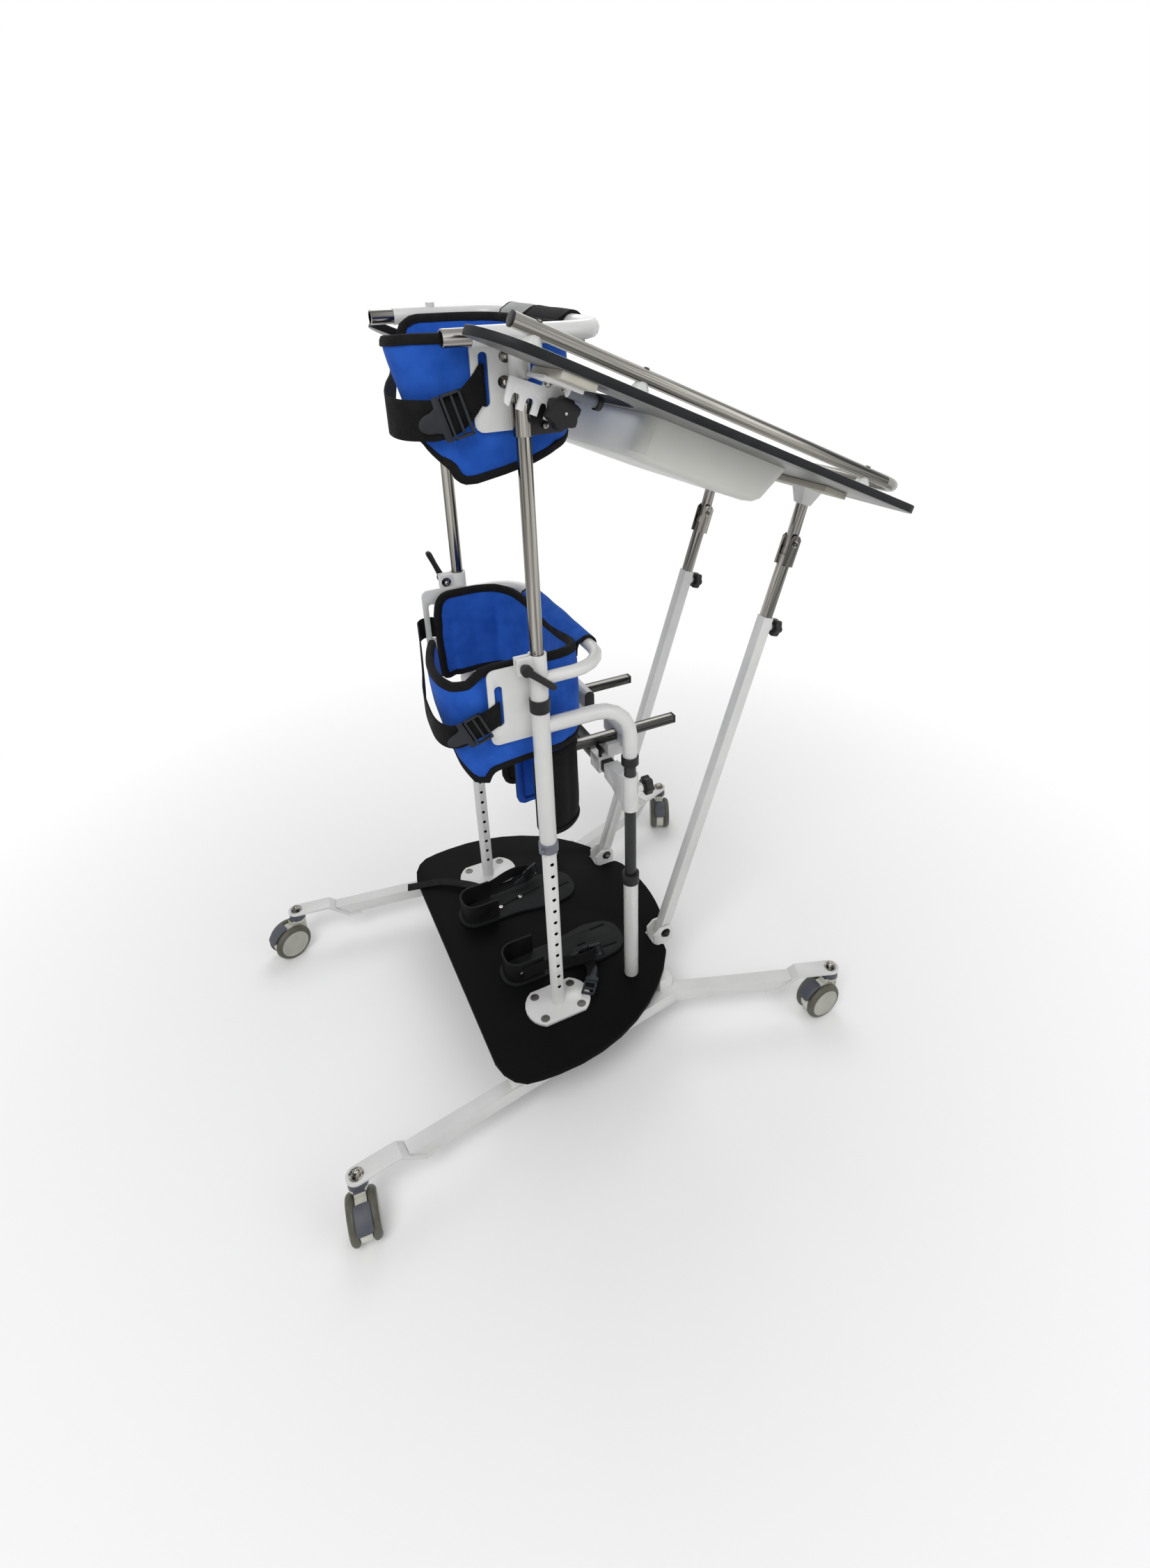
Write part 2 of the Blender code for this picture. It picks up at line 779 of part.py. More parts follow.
for side, s in SIDES_OF:
    x = s * COLUMN_X
    flange_low = PLATE_TOP + GAP
    foot = prism("column_foot_" + side, flange_outline(x), "Z", flange_low, flange_low + FLANGE_THICK)
    join(foot, rod("foot_tube_" + side, (x, 0, flange_low + 0.001), (x, 0, FOOT_TOP), FOOT_RADIUS))
    pins = []
    for i in range(PIN_COUNT):
        height = PIN_FIRST + PIN_PITCH * i
        pins.append(((x - 0.03, 0, height), (x + 0.03, 0, height)))
    cut(
        foot,
        rod("foot_bore_" + side, (x, 0, 0.15), (x, 0, FOOT_TOP + 0.01), FOOT_BORE, tool=True),
        rods("foot_pins_" + side, pins, PIN_RADIUS),
    )
    paint(foot, WHITE, 0.3)

    outer = rod("outer_column_" + side, (x, 0, OUTER_LOW), (x, 0, OUTER_TOP), OUTER_RADIUS)
    bend = rounded([(x, 0.009, BENT_Z), (x, POST_Y, BENT_Z), (x, POST_Y, BENT_END)], BENT_BEND)
    join(outer, tube("bent_" + side, bend, BENT_RADIUS))
    cut(
        outer,
        rod(
            "outer_bore_" + side,
            (x, 0, OUTER_LOW - 0.01),
            (x, 0, OUTER_TOP + 0.01),
            bore(FOOT_RADIUS),
            tool=True,
        ),
        rod(
            "bent_bore_" + side,
            (x, POST_Y, BENT_END - 0.01),
            (x, POST_Y, INNER_TOP + GAP),
            bore(INNER_RADIUS),
            tool=True,
        ),
    )
    paint(outer, WHITE, 0.3)

    post = rod("guide_post_" + side, (x, POST_Y, PLATE_TOP + GAP), (x, POST_Y, POST_TOP), POST_RADIUS)
    join(
        post,
        rod(
            "post_collar_" + side,
            (x, POST_Y, POST_TOP - 0.020),
            (x, POST_Y, POST_TOP + 0.001),
            POST_COLLAR,
        ),
    )
    cut(
        post,
        rod(
            "post_bore_" + side,
            (x, POST_Y, PLATE_TOP + 0.012),
            (x, POST_Y, POST_TOP + 0.02),
            bore(INNER_RADIUS),
            tool=True,
        ),
    )
    paint(post, WHITE, 0.3)
    inner = rod("inner_post_" + side, (x, POST_Y, INNER_LOW), (x, POST_Y, INNER_TOP), INNER_RADIUS)
    paint(inner, CHARCOAL, 0.4)
    chrome = rod("chrome_column_" + side, (x, 0, CHROME_LOW), (x, 0, CHROME_TOP), CHROME_RADIUS)
    paint(chrome, CHROME, 0.15, 1.0)
    for obj in (foot, outer, post, inner, chrome):
        smooth(obj)


# Rings with their clamp sleeves or sockets and strap plates.
def strap_plate(name, side, plate, slot):
    rear, front, low, high = plate
    near, far = sorted((side * SIDE_PLATE[0], side * SIDE_PLATE[1]))
    outline = rectangle(rear, front, low, high, 0.012, 4)
    piece = prism(name, outline, "X", near, far)
    hole = rectangle(*slot, 0.0055, 4)
    cut(piece, prism(name + "_slot", hole, "X", near - 0.01, far + 0.01, tool=True))
    return piece


corner_y = HIP_FRONT_Y
hip_ring = tube(
    "hip_ring",
    rounded(
        [
            (COLUMN_X, 0.0, HIP_RING_Z),
            (COLUMN_X, corner_y, HIP_RING_Z),
            (-COLUMN_X, corner_y, HIP_RING_Z),
            (-COLUMN_X, 0.0, HIP_RING_Z),
        ],
        RING_BEND,
    ),
    HIP_RING_RADIUS,
)
chest_ring = tube(
    "chest_ring",
    rounded(
        [
            (COLUMN_X, CHEST_END_Y, CHEST_RING_Z),
            (COLUMN_X, CHEST_FRONT_Y, CHEST_RING_Z),
            (-COLUMN_X, CHEST_FRONT_Y, CHEST_RING_Z),
            (-COLUMN_X, CHEST_END_Y, CHEST_RING_Z),
        ],
        RING_BEND,
    ),
    CHEST_RING_RADIUS,
)
EAR_Y = -0.024
EAR_Z = HIP_TOP - 0.014
EAR_HALF = 0.008
for side, s in SIDES_OF:
    x = s * COLUMN_X
    weld = s * (COLUMN_X - 0.008)
    plate_in = s * SIDE_PLATE[0]
    low_x, high_x = sorted((plate_in + s * 0.001, weld))
    join(
        hip_ring,
        rod("hip_sleeve_" + side, (x, 0, HIP_LOW), (x, 0, HIP_TOP), SLEEVE_RADIUS),
        box(
            "hip_ear_" + side,
            (x - EAR_HALF, EAR_Y - 0.010, EAR_Z - 0.013),
            (x + EAR_HALF, -0.006, EAR_Z + 0.013),
        ),
        strap_plate("hip_plate_" + side, s, HIP_PLATE, HIP_SLOT),
        box(
            "hip_weld_" + side,
            (low_x, -0.0075, HIP_LOW + 0.008),
            (high_x, 0.0075, HIP_PLATE[3] - 0.004),
        ),
    )
    cut(
        hip_ring,
        rod(
            "hip_bore_" + side,
            (x, 0, HIP_LOW - 0.01),
            (x, 0, HIP_TOP + 0.01),
            bore(CHROME_RADIUS),
            tool=True,
        ),
        box(
            "hip_slit_" + side,
            (x - 0.0015, EAR_Y - 0.02, HIP_LOW - 0.01),
            (x + 0.0015, -0.005, HIP_TOP + 0.01),
            tool=True,
        ),
    )
    join(
        chest_ring,
        rod("chest_tip_" + side, (x, CHEST_TIP_Y, CHEST_RING_Z), (x, -0.02, CHEST_RING_Z), 0.010),
        rod("chest_socket_" + side, (x, 0, SOCKET_LOW), (x, 0, CHEST_RING_Z), SOCKET_RADIUS),
        rod("chest_cap_" + side, (x, 0, CHEST_RING_Z), (x, 0, CHEST_RING_Z + 0.018), 0.007),
        strap_plate("chest_plate_" + side, s, CHEST_PLATE, CHEST_SLOT),
        box(
            "chest_weld_" + side,
            (low_x, -0.0075, SOCKET_LOW + 0.006),
            (high_x, 0.0075, CHEST_RING_Z - 0.010),
        ),
    )
    cut(
        chest_ring,
        rod(
            "chest_bore_" + side,
            (x, 0, SOCKET_LOW - 0.02),
            (x, 0, CHROME_TOP + GAP),
            bore(CHROME_RADIUS),
            tool=True,
        ),
        rod(
            "chest_tip_bore_" + side,
            (x, CHEST_TIP_Y - 0.01, CHEST_RING_Z),
            (x, CHEST_END_Y + 0.01, CHEST_RING_Z),
            0.0082,
            tool=True,
        ),
    )
smooth(hip_ring)
smooth(chest_ring)
paint(hip_ring, WHITE, 0.3)
paint(chest_ring, WHITE, 0.3)


def lever(side, s, angle):
    """A flat clamp lever whose hub bears on the outer ear of the hip clamp."""
    hub = 0.009
    outline = []
    for i in range(11):
        turn = math.radians(35 + 290 * i / 10)
        outline.append((hub * math.cos(turn), hub * math.sin(turn)))
    outline += [(0.030, -0.0045), (0.052, -0.0050), (0.056, -0.002), (0.056, 0.003), (0.052, 0.005)]
    outline += [(0.030, 0.0045)]
    turn = math.radians(angle)
    placed = []
    for u, v in outline:
        y = EAR_Y + u * math.cos(turn) - v * math.sin(turn)
        placed.append((y, EAR_Z + u * math.sin(turn) + v * math.cos(turn)))
    low = COLUMN_X + OUTER_RADIUS + 0.0015
    near, far = sorted((s * low, s * (low + 0.009)))
    obj = prism("clamp_lever_" + side, placed, "X", near, far)
    hub_in = COLUMN_X + EAR_HALF + GAP
    stud = rod(
        "lever_hub_" + side,
        (s * hub_in, EAR_Y, EAR_Z),
        (s * (low + 0.004), EAR_Y, EAR_Z),
        0.006,
        sides=12,
    )
    join(obj, stud)
    paint(obj, BLACK, 0.4)
    pivot("lever_axis_" + side, (s * low, EAR_Y, EAR_Z), obj)


lever("right", 1.0, -42.0)
lever("left", -1.0, 112.0)


# Pads: padded bands bent round the body, open behind, with stitched upright channels.
def band_pad(name, path, low, high, thick, channels, leans=None, crown=0.0022):
    bm = bmesh.new()
    rings = []
    count = len(path)
    for i, point in enumerate(path):
        before = path[max(i - 1, 0)]
        after = path[min(i + 1, count - 1)]
        along = (after - before).normalized()
        out = Vector((along.y, -along.x, 0.0))
        end = i in (0, count - 1)
        half = thick / 2 * (0.55 if end else 1.0)
        pinch = 0.45 if i in channels else 1.0
        bottom = low(i) if callable(low) else low
        top = high(i) if callable(high) else high
        tall = top - bottom
        swell = crown if pinch == 1.0 else -0.5 * half
        section = [
            (half, bottom + 0.07 * tall),
            (half * pinch, bottom + 0.5 * tall),
            (half, top - 0.07 * tall),
            (0.0, top),
            (-half, top - 0.07 * tall),
            (-half - swell, bottom + 0.5 * tall),
            (-half, bottom + 0.07 * tall),
            (0.0, bottom),
        ]
        lean = leans[i] if leans else 0.0
        ring = []
        for offset, height in section:
            place = point + out * (offset - lean * (top - height) / tall)
            ring.append(bm.verts.new((place.x, place.y, height)))
        rings.append(ring)
    for lower, upper in zip(rings, rings[1:]):
        for i in range(len(lower)):
            j = (i + 1) % len(lower)
            bm.faces.new((lower[i], lower[j], upper[j], upper[i]))
    bm.faces.new(rings[0])
    bm.faces.new(rings[-1])
    obj = solid(bm, name)
    subdivide = obj.modifiers.new("Soften", "SUBSURF")
    subdivide.levels = 1
    subdivide.render_levels = 1
    for face in obj.data.polygons:
        face.use_smooth = True
    return obj


def body_path(front_y, right_wing, left_wing, front):
    """Points of a body pad from the right wing round the front to the left wing."""
    half = [
        (PAD_SIDE, -0.018),
        (PAD_SIDE, 0.022),
        (PAD_SIDE - 0.008, 0.056),
        (PAD_SIDE - 0.032, 0.081),
        (PAD_SIDE - 0.074, front_y - 0.002),
        (PAD_SIDE - 0.116, front_y),
    ]
    half = [(x, y, rise, drop, 0.0) for (x, y), (rise, drop) in zip(half, front)]
    right = list(right_wing) + half
    left = [(-x, y, rise, drop, lean) for x, y, rise, drop, lean in list(left_wing) + half]
    return right + [(0.0, front_y) + front[-1] + (0.0,)] + left[::-1]


def body_pad(name, places, span, front, sag):
    """A band along the places, whose upper edge sags evenly towards the left."""
    last = len(places) - 1
    obj = band_pad(
        name,
        [Vector((place[0], place[1], 0.0)) for place in places],
        lambda i: span[0] + places[i][2],
        lambda i: span[1] - places[i][3] - sag * i / last,
        PAD_THICK,
        (front - 2, front, front + 2),
        [place[4] for place in places],
    )
    paint(obj, BLUE, 0.8)
    return obj


chest_path = body_path(0.098, CHEST_RIGHT_WING, CHEST_LEFT_WING, CHEST_FRONT)
chest_pad = body_pad("chest_pad", chest_path, CHEST_PAD, len(CHEST_RIGHT_WING) + 6, 0.0)
hip_path = body_path(0.096, HIP_RIGHT_WING, HIP_LEFT_WING, HIP_FRONT)
hip_pad = body_pad("hip_pad", hip_path, HIP_PAD, len(HIP_RIGHT_WING) + 6, HIP_SAG)


def strap(name, slot, height, tall, route):
    """A strap from the right plate's slot round the right wing to the left plate's slot."""
    face = SIDE_PLATE[1] + GAP + STRAP_THICK / 2
    middle = (slot[0] + slot[1]) / 2
    near = [
        (SIDE_PLATE[1] - 0.0024, middle + 0.0008, 0.0),
        (SIDE_PLATE[1] + 0.0004, middle - 0.0016, 0.0),
        (face, slot[0] + 0.0008, 0.0),
        (face + 0.0002, slot[0] - 0.012, route[0][2] / 2),
    ]
    far = [(-x, y, 0.0) for x, y, fall in near]
    places = near + list(route) + far[::-1]
    path = [Vector((x, y, 0.0)) for x, y, fall in places]
    falls = [fall for x, y, fall in places]
    obj = ribbon(name, path, height - tall / 2, height + tall / 2, STRAP_THICK, falls)
    paint(obj, BLACK, 0.8)
    return obj


chest_strap = strap("chest_strap", CHEST_SLOT, CHEST_STRAP_Z, CHEST_STRAP_TALL, CHEST_STRAP_ROUTE)
hip_strap = strap("hip_strap", HIP_SLOT, HIP_STRAP_Z, HIP_STRAP_TALL, HIP_STRAP_ROUTE)

# Knee support: clamp sleeves and tapered brackets welded to a crossbar.
half_bar = CROSSBAR / 2
knee_crossbar = box(
    "knee_crossbar",
    (-COLUMN_X + 0.05, POST_Y - half_bar, KNEE_Z - half_bar),
    (COLUMN_X - 0.05, POST_Y + half_bar, KNEE_Z + half_bar),
)
BRACKET_END = 0.118
for side, s in SIDES_OF:
    x = s * COLUMN_X
    taper = [
        (s * (COLUMN_X - 0.006), KNEE_LOW + 0.006),
        (s * (COLUMN_X - 0.006), KNEE_HIGH - 0.004),
        (s * 0.145, KNEE_Z + BRACKET / 2 + 0.006),
        (s * BRACKET_END, KNEE_Z + BRACKET / 2),
        (s * BRACKET_END, KNEE_Z - BRACKET / 2),
        (s * 0.145, KNEE_Z - BRACKET / 2 - 0.004),
    ]
    half = BRACKET / 2 - 0.0008
    join(
        knee_crossbar,
        rod("knee_sleeve_" + side, (x, POST_Y, KNEE_LOW), (x, POST_Y, KNEE_HIGH), KNEE_SLEEVE_RADIUS),
        prism("knee_bracket_" + side, taper, "Y", POST_Y - half, POST_Y + half),
        rod(
            "knee_boss_" + side,
            (x, POST_Y + 0.009, KNEE_Z),
            (x, POST_Y + 0.021, KNEE_Z),
            0.0085,
            sides=16,
        ),
    )
    cut(
        knee_crossbar,
        rod(
            "knee_bore_" + side,
            (x, POST_Y, KNEE_LOW - 0.01),
            (x, POST_Y, KNEE_HIGH + 0.01),
            bore(INNER_RADIUS),
            tool=True,
        ),
        rod(
            "knee_stud_hole_" + side,
            (x, POST_Y, KNEE_Z),
            (x, POST_Y + 0.03, KNEE_Z),
            bore(STUD_RADIUS),
            tool=True,
        ),
    )
paint(knee_crossbar, WHITE, 0.3)
smooth(knee_crossbar)


def knob(name, frame, radius, high, stud, pin_radius):
    """A star knob above a boss face at height 0 of its frame, with its stud below."""
    obj = star(name, radius, GAP + 0.004, high, frame)
    hub = rod(name + "_hub", (0, 0, GAP), (0, 0, GAP + 0.006), radius * 0.55, frame, sides=12)
    pin = rod(name + "_stud", (0, 0, -stud), (0, 0, GAP + 0.003), pin_radius, frame, sides=8)
    tip = rod(name + "_tip", (0, 0, high - 0.001), (0, 0, high + 0.003), pin_radius, frame, sides=8)
    join(obj, hub, pin, tip)
    paint(obj, BLACK, 0.45)
    return obj


for side, s in SIDES_OF:
    x = s * COLUMN_X
    face = Matrix.Translation((x, POST_Y + 0.021, KNEE_Z)) @ Matrix.Rotation(-math.pi / 2, 4, "X")
    obj = knob("knee_knob_" + side, face, 0.0165, 0.017, 0.008, STUD_RADIUS)
    pivot("knee_knob_axis_" + side, (x, POST_Y, KNEE_Z), obj)

    x = s * CARRIER_X
    hold = CROSSBAR / 2 + 0.005
    carrier = box(
        "knee_carrier_" + side,
        (x - 0.017, POST_Y - hold, KNEE_Z - hold),
        (x + 0.017, POST_Y + hold, KNEE_Z + hold),
    )
    neck = box(
        "carrier_neck_" + side,
        (x - 0.0165, POST_Y + 0.004, KNEE_Z + 0.012),
        (x + 0.0165, CARRIER_Y + 0.004, CARRIER_Z - 0.008),
    )
    oval = rectangle(CARRIER_Y - 0.010, CARRIER_Y + 0.010, CARRIER_Z - 0.020, CARRIER_Z + 0.020, 0.0098, 5)
    body = prism("carrier_oval_" + side, oval, "X", x - 0.045, x + 0.045)
    join(carrier, neck, body)
    slide = half_bar + GAP
    reach = BAR / 2 + GAP
    cut(
        carrier,
        box(
            "carrier_slide_" + side,
            (x - 0.05, POST_Y - slide, KNEE_Z - slide),
            (x + 0.05, POST_Y + slide, KNEE_Z + slide),
            tool=True,
        ),
        box(
            "carrier_bar_" + side,
            (x - reach, POST_Y - 0.05, CARRIER_Z - reach),
            (x + reach, CARRIER_Y + 0.05, CARRIER_Z + reach),
            tool=True,
        ),
    )
    paint(carrier, WHITE, 0.3)
    bar = box(
        "knee_bar_" + side,
        (x - BAR / 2, KNEE_PAD_BACK - KNEE_PAD_SINK + GAP, CARRIER_Z - BAR / 2),
        (x + BAR / 2, BAR_END_Y, CARRIER_Z + BAR / 2),
    )
    paint(bar, CHROME, 0.2, 1.0)
    mid = KNEE_PAD_BACK - 0.007
    knee_path = []
    for u, v in (
        (0.046, 0.006),
        (0.053, 0.022),
        (0.054, 0.042),
        (0.047, 0.063),
        (0.028, 0.084),
        (0.0, mid),
        (-0.028, 0.084),
        (-0.047, 0.063),
        (-0.054, 0.042),
        (-0.053, 0.022),
        (-0.046, 0.006),
    ):
        knee_path.append(Vector((x + u, v, 0.0)))
    knee_pad = band_pad("knee_pad_" + side, knee_path, *KNEE_PAD, 0.014, ())
    paint(knee_pad, BLUE, 0.8)

# Table: everything is set out square, then tilted and leaned about its hinge.
lean = Matrix.Rotation(math.radians(-TABLE_LEAN), 4, "Y")
tilt = Matrix.Rotation(math.radians(-TABLE_TILT), 4, "X")
table = Matrix.Translation((0.0, HINGE_Y, HINGE_Z)) @ tilt @ lean


def table_point(world_x, along, above):
    """A place given along and above the leaned table, but by its level distance from the middle."""
    angle = math.radians(TABLE_LEAN)
    return table @ Vector(((world_x + above * math.sin(angle)) / math.cos(angle), along, above))


board_top = BOARD_LOW + BOARD_THICK
board_outline = outline_of(
    [
        (NOTCH_HALF + 0.003, BOARD_REAR, 0.006),
        (BOARD_HALF, BOARD_REAR, 0.070),
        (BOARD_HALF, BOARD_FRONT, 0.030),
        (-BOARD_HALF, BOARD_FRONT, 0.030),
        (-BOARD_HALF, BOARD_REAR, 0.070),
        (-NOTCH_HALF - 0.003, BOARD_REAR, 0.006),
        (-NOTCH_HALF, NOTCH_FRONT, 0.060),
        (NOTCH_HALF, NOTCH_FRONT, 0.060),
    ]
)
table_top = prism("table_top", board_outline, "Z", BOARD_LOW, board_top, table)
inset = BASIN_WALL + 0.006
mouth = rectangle(
    -BASIN_HALF + inset,
    BASIN_HALF - inset,
    BASIN_REAR + inset,
    BASIN_FRONT - inset,
    0.024,
)
cut(table_top, prism("table_mouth", mouth, "Z", BOARD_LOW - 0.01, board_top + 0.01, table, True))
paint(table_top, CHARCOAL, 0.5)


def basin_loops(shrink, top, floor):
    """Loops of the basin from its mouth to its floor, drawn in by shrink."""
    drop = top - floor
    loops = []
    for part, draw in ((0.0, 0.0), (0.45, 0.0), (0.82, 0.0), (0.95, 0.005), (1.0, 0.014)):
        lean_in = BASIN_LEAN * part
        loop = rectangle(
            -BASIN_HALF + shrink + draw + 0.008 * part,
            BASIN_HALF - shrink - draw - 0.008 * part,
            BASIN_REAR + shrink + draw,
            BASIN_FRONT - shrink - draw - lean_in,
            0.028 - shrink,
        )
        loops.append([(x, y, top - drop * part) for x, y in loop])
    return loops


basin_top = BOARD_LOW - GAP
table_basin = loft("table_basin", basin_loops(0.0, basin_top, basin_top - BASIN_DEPTH), table)
hollow = basin_loops(BASIN_WALL, basin_top + 0.001, basin_top - BASIN_DEPTH + BASIN_WALL)
cut(table_basin, loft("basin_hollow", hollow, table, True))
smooth(table_basin)
paint(table_basin, MILK, 0.4)

rail_z = board_top + RAIL_RISE
rail_path = [
    (RAIL_X, RAIL_REAR, rail_z),
    (RAIL_X, RAIL_FRONT, rail_z),
    (-RAIL_X, RAIL_FRONT, rail_z),
    (-RAIL_X, RAIL_REAR, rail_z),
]
table_rail = tube("table_rail", rounded(rail_path, 0.050), RAIL_RADIUS, table)
for side, s in SIDES_OF:
    for number, along in enumerate(SPACERS):
        foot = rectangle(s * RAIL_X - 0.0079, s * RAIL_X + 0.0083, along - 0.008, along + 0.008, 0.006, 2)
        head = rectangle(s * RAIL_X - 0.0049, s * RAIL_X + 0.0053, along - 0.006, along + 0.006, 0.003, 2)
        join(
            table_rail,
            loft(
                "rail_spacer_" + side + str(number),
                [
                    [(u, v, board_top + GAP) for u, v in foot],
                    [(u, v, rail_z - 0.0031) for u, v in head],
                ],
                table,
            ),
        )
smooth(table_rail)
paint(table_rail, CHROME, 0.2, 1.0)

block_low = BOARD_LOW - GAP - BLOCK_THICK
for side, s in SIDES_OF:
    near, far = sorted((s * (COMB_X + 0.001), s * (BOARD_HALF - 0.004)))
    bracket = box(
        "table_bracket_" + side,
        (near, BLOCK[0], block_low),
        (far, BLOCK[1], BOARD_LOW - GAP),
        table,
    )
    near, far = sorted((s * COMB_X, s * (COMB_X + 0.052)))
    flange = box(
        "bracket_flange_" + side,
        (near, BLOCK[0] - 0.004, block_low - 0.004),
        (far, BLOCK[1] + 0.004, block_low + 0.001),
        table,
    )
    comb = [
        (-0.0735, 0.0205),
        (-0.030, 0.0225),
        (-0.027, block_low - 0.001),
        (BLOCK[1] + 0.005, block_low - 0.001),
        (0.0145, 0.006),
        (0.0125, -0.0145),
    ]
    for i in range(4):
        along = -i * COMB_PITCH
        comb += [
            (along + COMB_SLOT, -0.0145),
            (along + COMB_SLOT, 0.000),
            (along + 0.0032, 0.0034),
            (along - 0.0032, 0.0034),
            (along - COMB_SLOT, 0.000),
            (along - COMB_SLOT, -0.0145),
        ]
    comb += [(-0.0700, -0.0125), (-0.0720, -0.006)]
    near, far = sorted((s * COMB_X, s * (COMB_X + COMB_THICK)))
    plate = prism("bracket_comb_" + side, comb, "X", near, far, table)
    stub = rod(
        "bracket_stub_" + side,
        (s * 0.2475, -0.012, block_low - 0.0062),
        (s * 0.2475, 0.030, block_low - 0.0062),
        0.0075,
        table,
        sides=12,
    )
    join(bracket, flange, plate, stub)
    paint(bracket, WHITE, 0.4)
    ear = table @ Matrix.Translation((s * COLUMN_X, 0.0, 0.0))
    height = ear.translation.z
    low = height - 0.028
    high = height + 0.014
    x = s * COLUMN_X
    clamp = rod("table_clamp_" + side, (x, 0, low), (x, 0, high), CLAMP_RADIUS)
    join(
        clamp,
        box(
            "clamp_ear_" + side,
            (x - 0.0105, 0.006, low + 0.001),
            (x + 0.0105, ear.translation.y + 0.012, high - 0.001),
        ),
    )
    near, far = sorted((s * 0.003, s * 0.04))
    cut(
        clamp,
        rod("clamp_bore_" + side, (x, 0, low - 0.01), (x, 0, high + 0.01), bore(CHROME_RADIUS), tool=True),
        rod("clamp_hole_" + side, (near, 0, 0), (far, 0, 0), bore(TABLE_STUD), ear, True),
    )
    smooth(clamp)
    paint(clamp, BLACK, 0.4)
    turn = Matrix.Rotation(s * math.pi / 2, 4, "Y")
    face = table @ Matrix.Translation((s * (COMB_X + COMB_THICK), 0.0, 0.0)) @ turn
    knob_reach = COMB_X + COMB_THICK - COLUMN_X - 0.005
    obj = knob("table_knob_" + side, face, 0.022, 0.024, knob_reach, TABLE_STUD)
    pivot("table_knob_axis_" + side, face.translation, obj)

# Front batten with the two strut heads and the tubes that reach down to the knuckles.
front_batten = box(
    "front_batten",
    (-0.200, HEAD_Y - 0.024, block_low),
    (0.200, HEAD_Y + 0.024, BOARD_LOW - GAP),
    table,
)
for side, s in SIDES_OF:
    knuckle = table_point(s * STRUT_X, *KNUCKLE)
    top = table_point(s * STRUT_X, HEAD_Y, block_low + 0.004)
    square = UPPER_TUBE / 2
    slope = math.atan2(top.y - knuckle.y, top.z - knuckle.z)
    frame = Matrix.Translation(knuckle) @ Matrix.Rotation(-slope, 4, "X")
    reach = (top - knuckle).length
    upper = box("upper_tube_" + side, (-square, -square, -0.008), (square, square, reach), frame)
    head_x = (table.inverted() @ top).x
    foot = rectangle(-0.011, 0.011, -0.009, 0.013, 0.003, 2)
    seat = rectangle(-0.017, 0.017, -0.022, 0.022, 0.004, 2)
    head = loft(
        "strut_head_" + side,
        [
            [(head_x + u, HEAD_Y + v, block_low - 0.026) for u, v in foot],
            [(head_x + u, HEAD_Y + v, block_low + 0.001) for u, v in seat],
        ],
        table,
    )
    join(front_batten, head, upper)
paint(front_batten, WOOD, 0.6)

# Struts: square tube on the base lug, slider with a forked knuckle, and a lock knob.
for side, s in SIDES_OF:
    knuckle = table_point(s * STRUT_X, *KNUCKLE)
    base = Vector((s * STRUT_X, PIVOT_Y, PIVOT_Z))
    slope = math.atan2(knuckle.y - base.y, knuckle.z - base.z)
    span = math.hypot(knuckle.y - base.y, knuckle.z - base.z)
    frame = Matrix.Translation(base) @ Matrix.Rotation(-slope, 4, "X")
    half = STRUT / 2
    tube_obj = box("strut_tube_" + side, (-half, -half, -0.012), (half, half, STRUT_TOP), frame)
    boss = rod(
        "strut_boss_" + side,
        (0, half - 0.001, STRUT_KNOB_AT),
        (0, half + 0.006, STRUT_KNOB_AT),
        0.008,
        frame,
    )
    join(tube_obj, boss)
    inside = SLIDER / 2 + GAP
    cut(
        tube_obj,
        box("strut_bore_" + side, (-inside, -inside, 0.20), (inside, inside, STRUT_TOP + 0.02), frame, True),
        rod("strut_pin_hole_" + side, (-0.03, 0, 0), (0.03, 0, 0), bore(PIVOT_RADIUS), frame, True),
        rod(
            "strut_stud_hole_" + side,
            (0, 0, STRUT_KNOB_AT),
            (0, half + 0.02, STRUT_KNOB_AT),
            bore(STUD_RADIUS),
            frame,
            True,
        ),
    )
    paint(tube_obj, WHITE, 0.3)
    half = SLIDER / 2
    slider = box("strut_slider_" + side, (-half, -half, 0.30), (half, half, span - 0.022), frame)
    grip = UPPER_TUBE / 2 + 0.0018
    for low in (grip, -grip - 0.003):
        cheek = [
            (-0.011, span - 0.040),
            (0.011, span - 0.040),
            (0.011, span + 0.008),
            (0.006, span + 0.014),
            (-0.006, span + 0.014),
            (-0.011, span + 0.008),
        ]
        join(slider, prism("slider_cheek_" + side, cheek, "X", low, low + 0.003, frame))
    web = box(
        "slider_web_" + side,
        (-grip - 0.002, -half + 0.001, span - 0.039),
        (grip + 0.002, half - 0.001, span - 0.0225),
        frame,
    )
    join(slider, web)
    paint(slider, CHROME, 0.2, 1.0)
    turn = Matrix.Rotation(-math.pi / 2, 4, "X")
    face = frame @ Matrix.Translation((0, STRUT / 2 + 0.006, STRUT_KNOB_AT)) @ turn
    obj = knob("strut_knob_" + side, face, 0.0165, 0.017, 0.007, STUD_RADIUS)
    pivot("strut_pivot_" + side, base, tube_obj)
    pivot("strut_knob_axis_" + side, frame @ Vector((0, 0, STRUT_KNOB_AT)), obj)

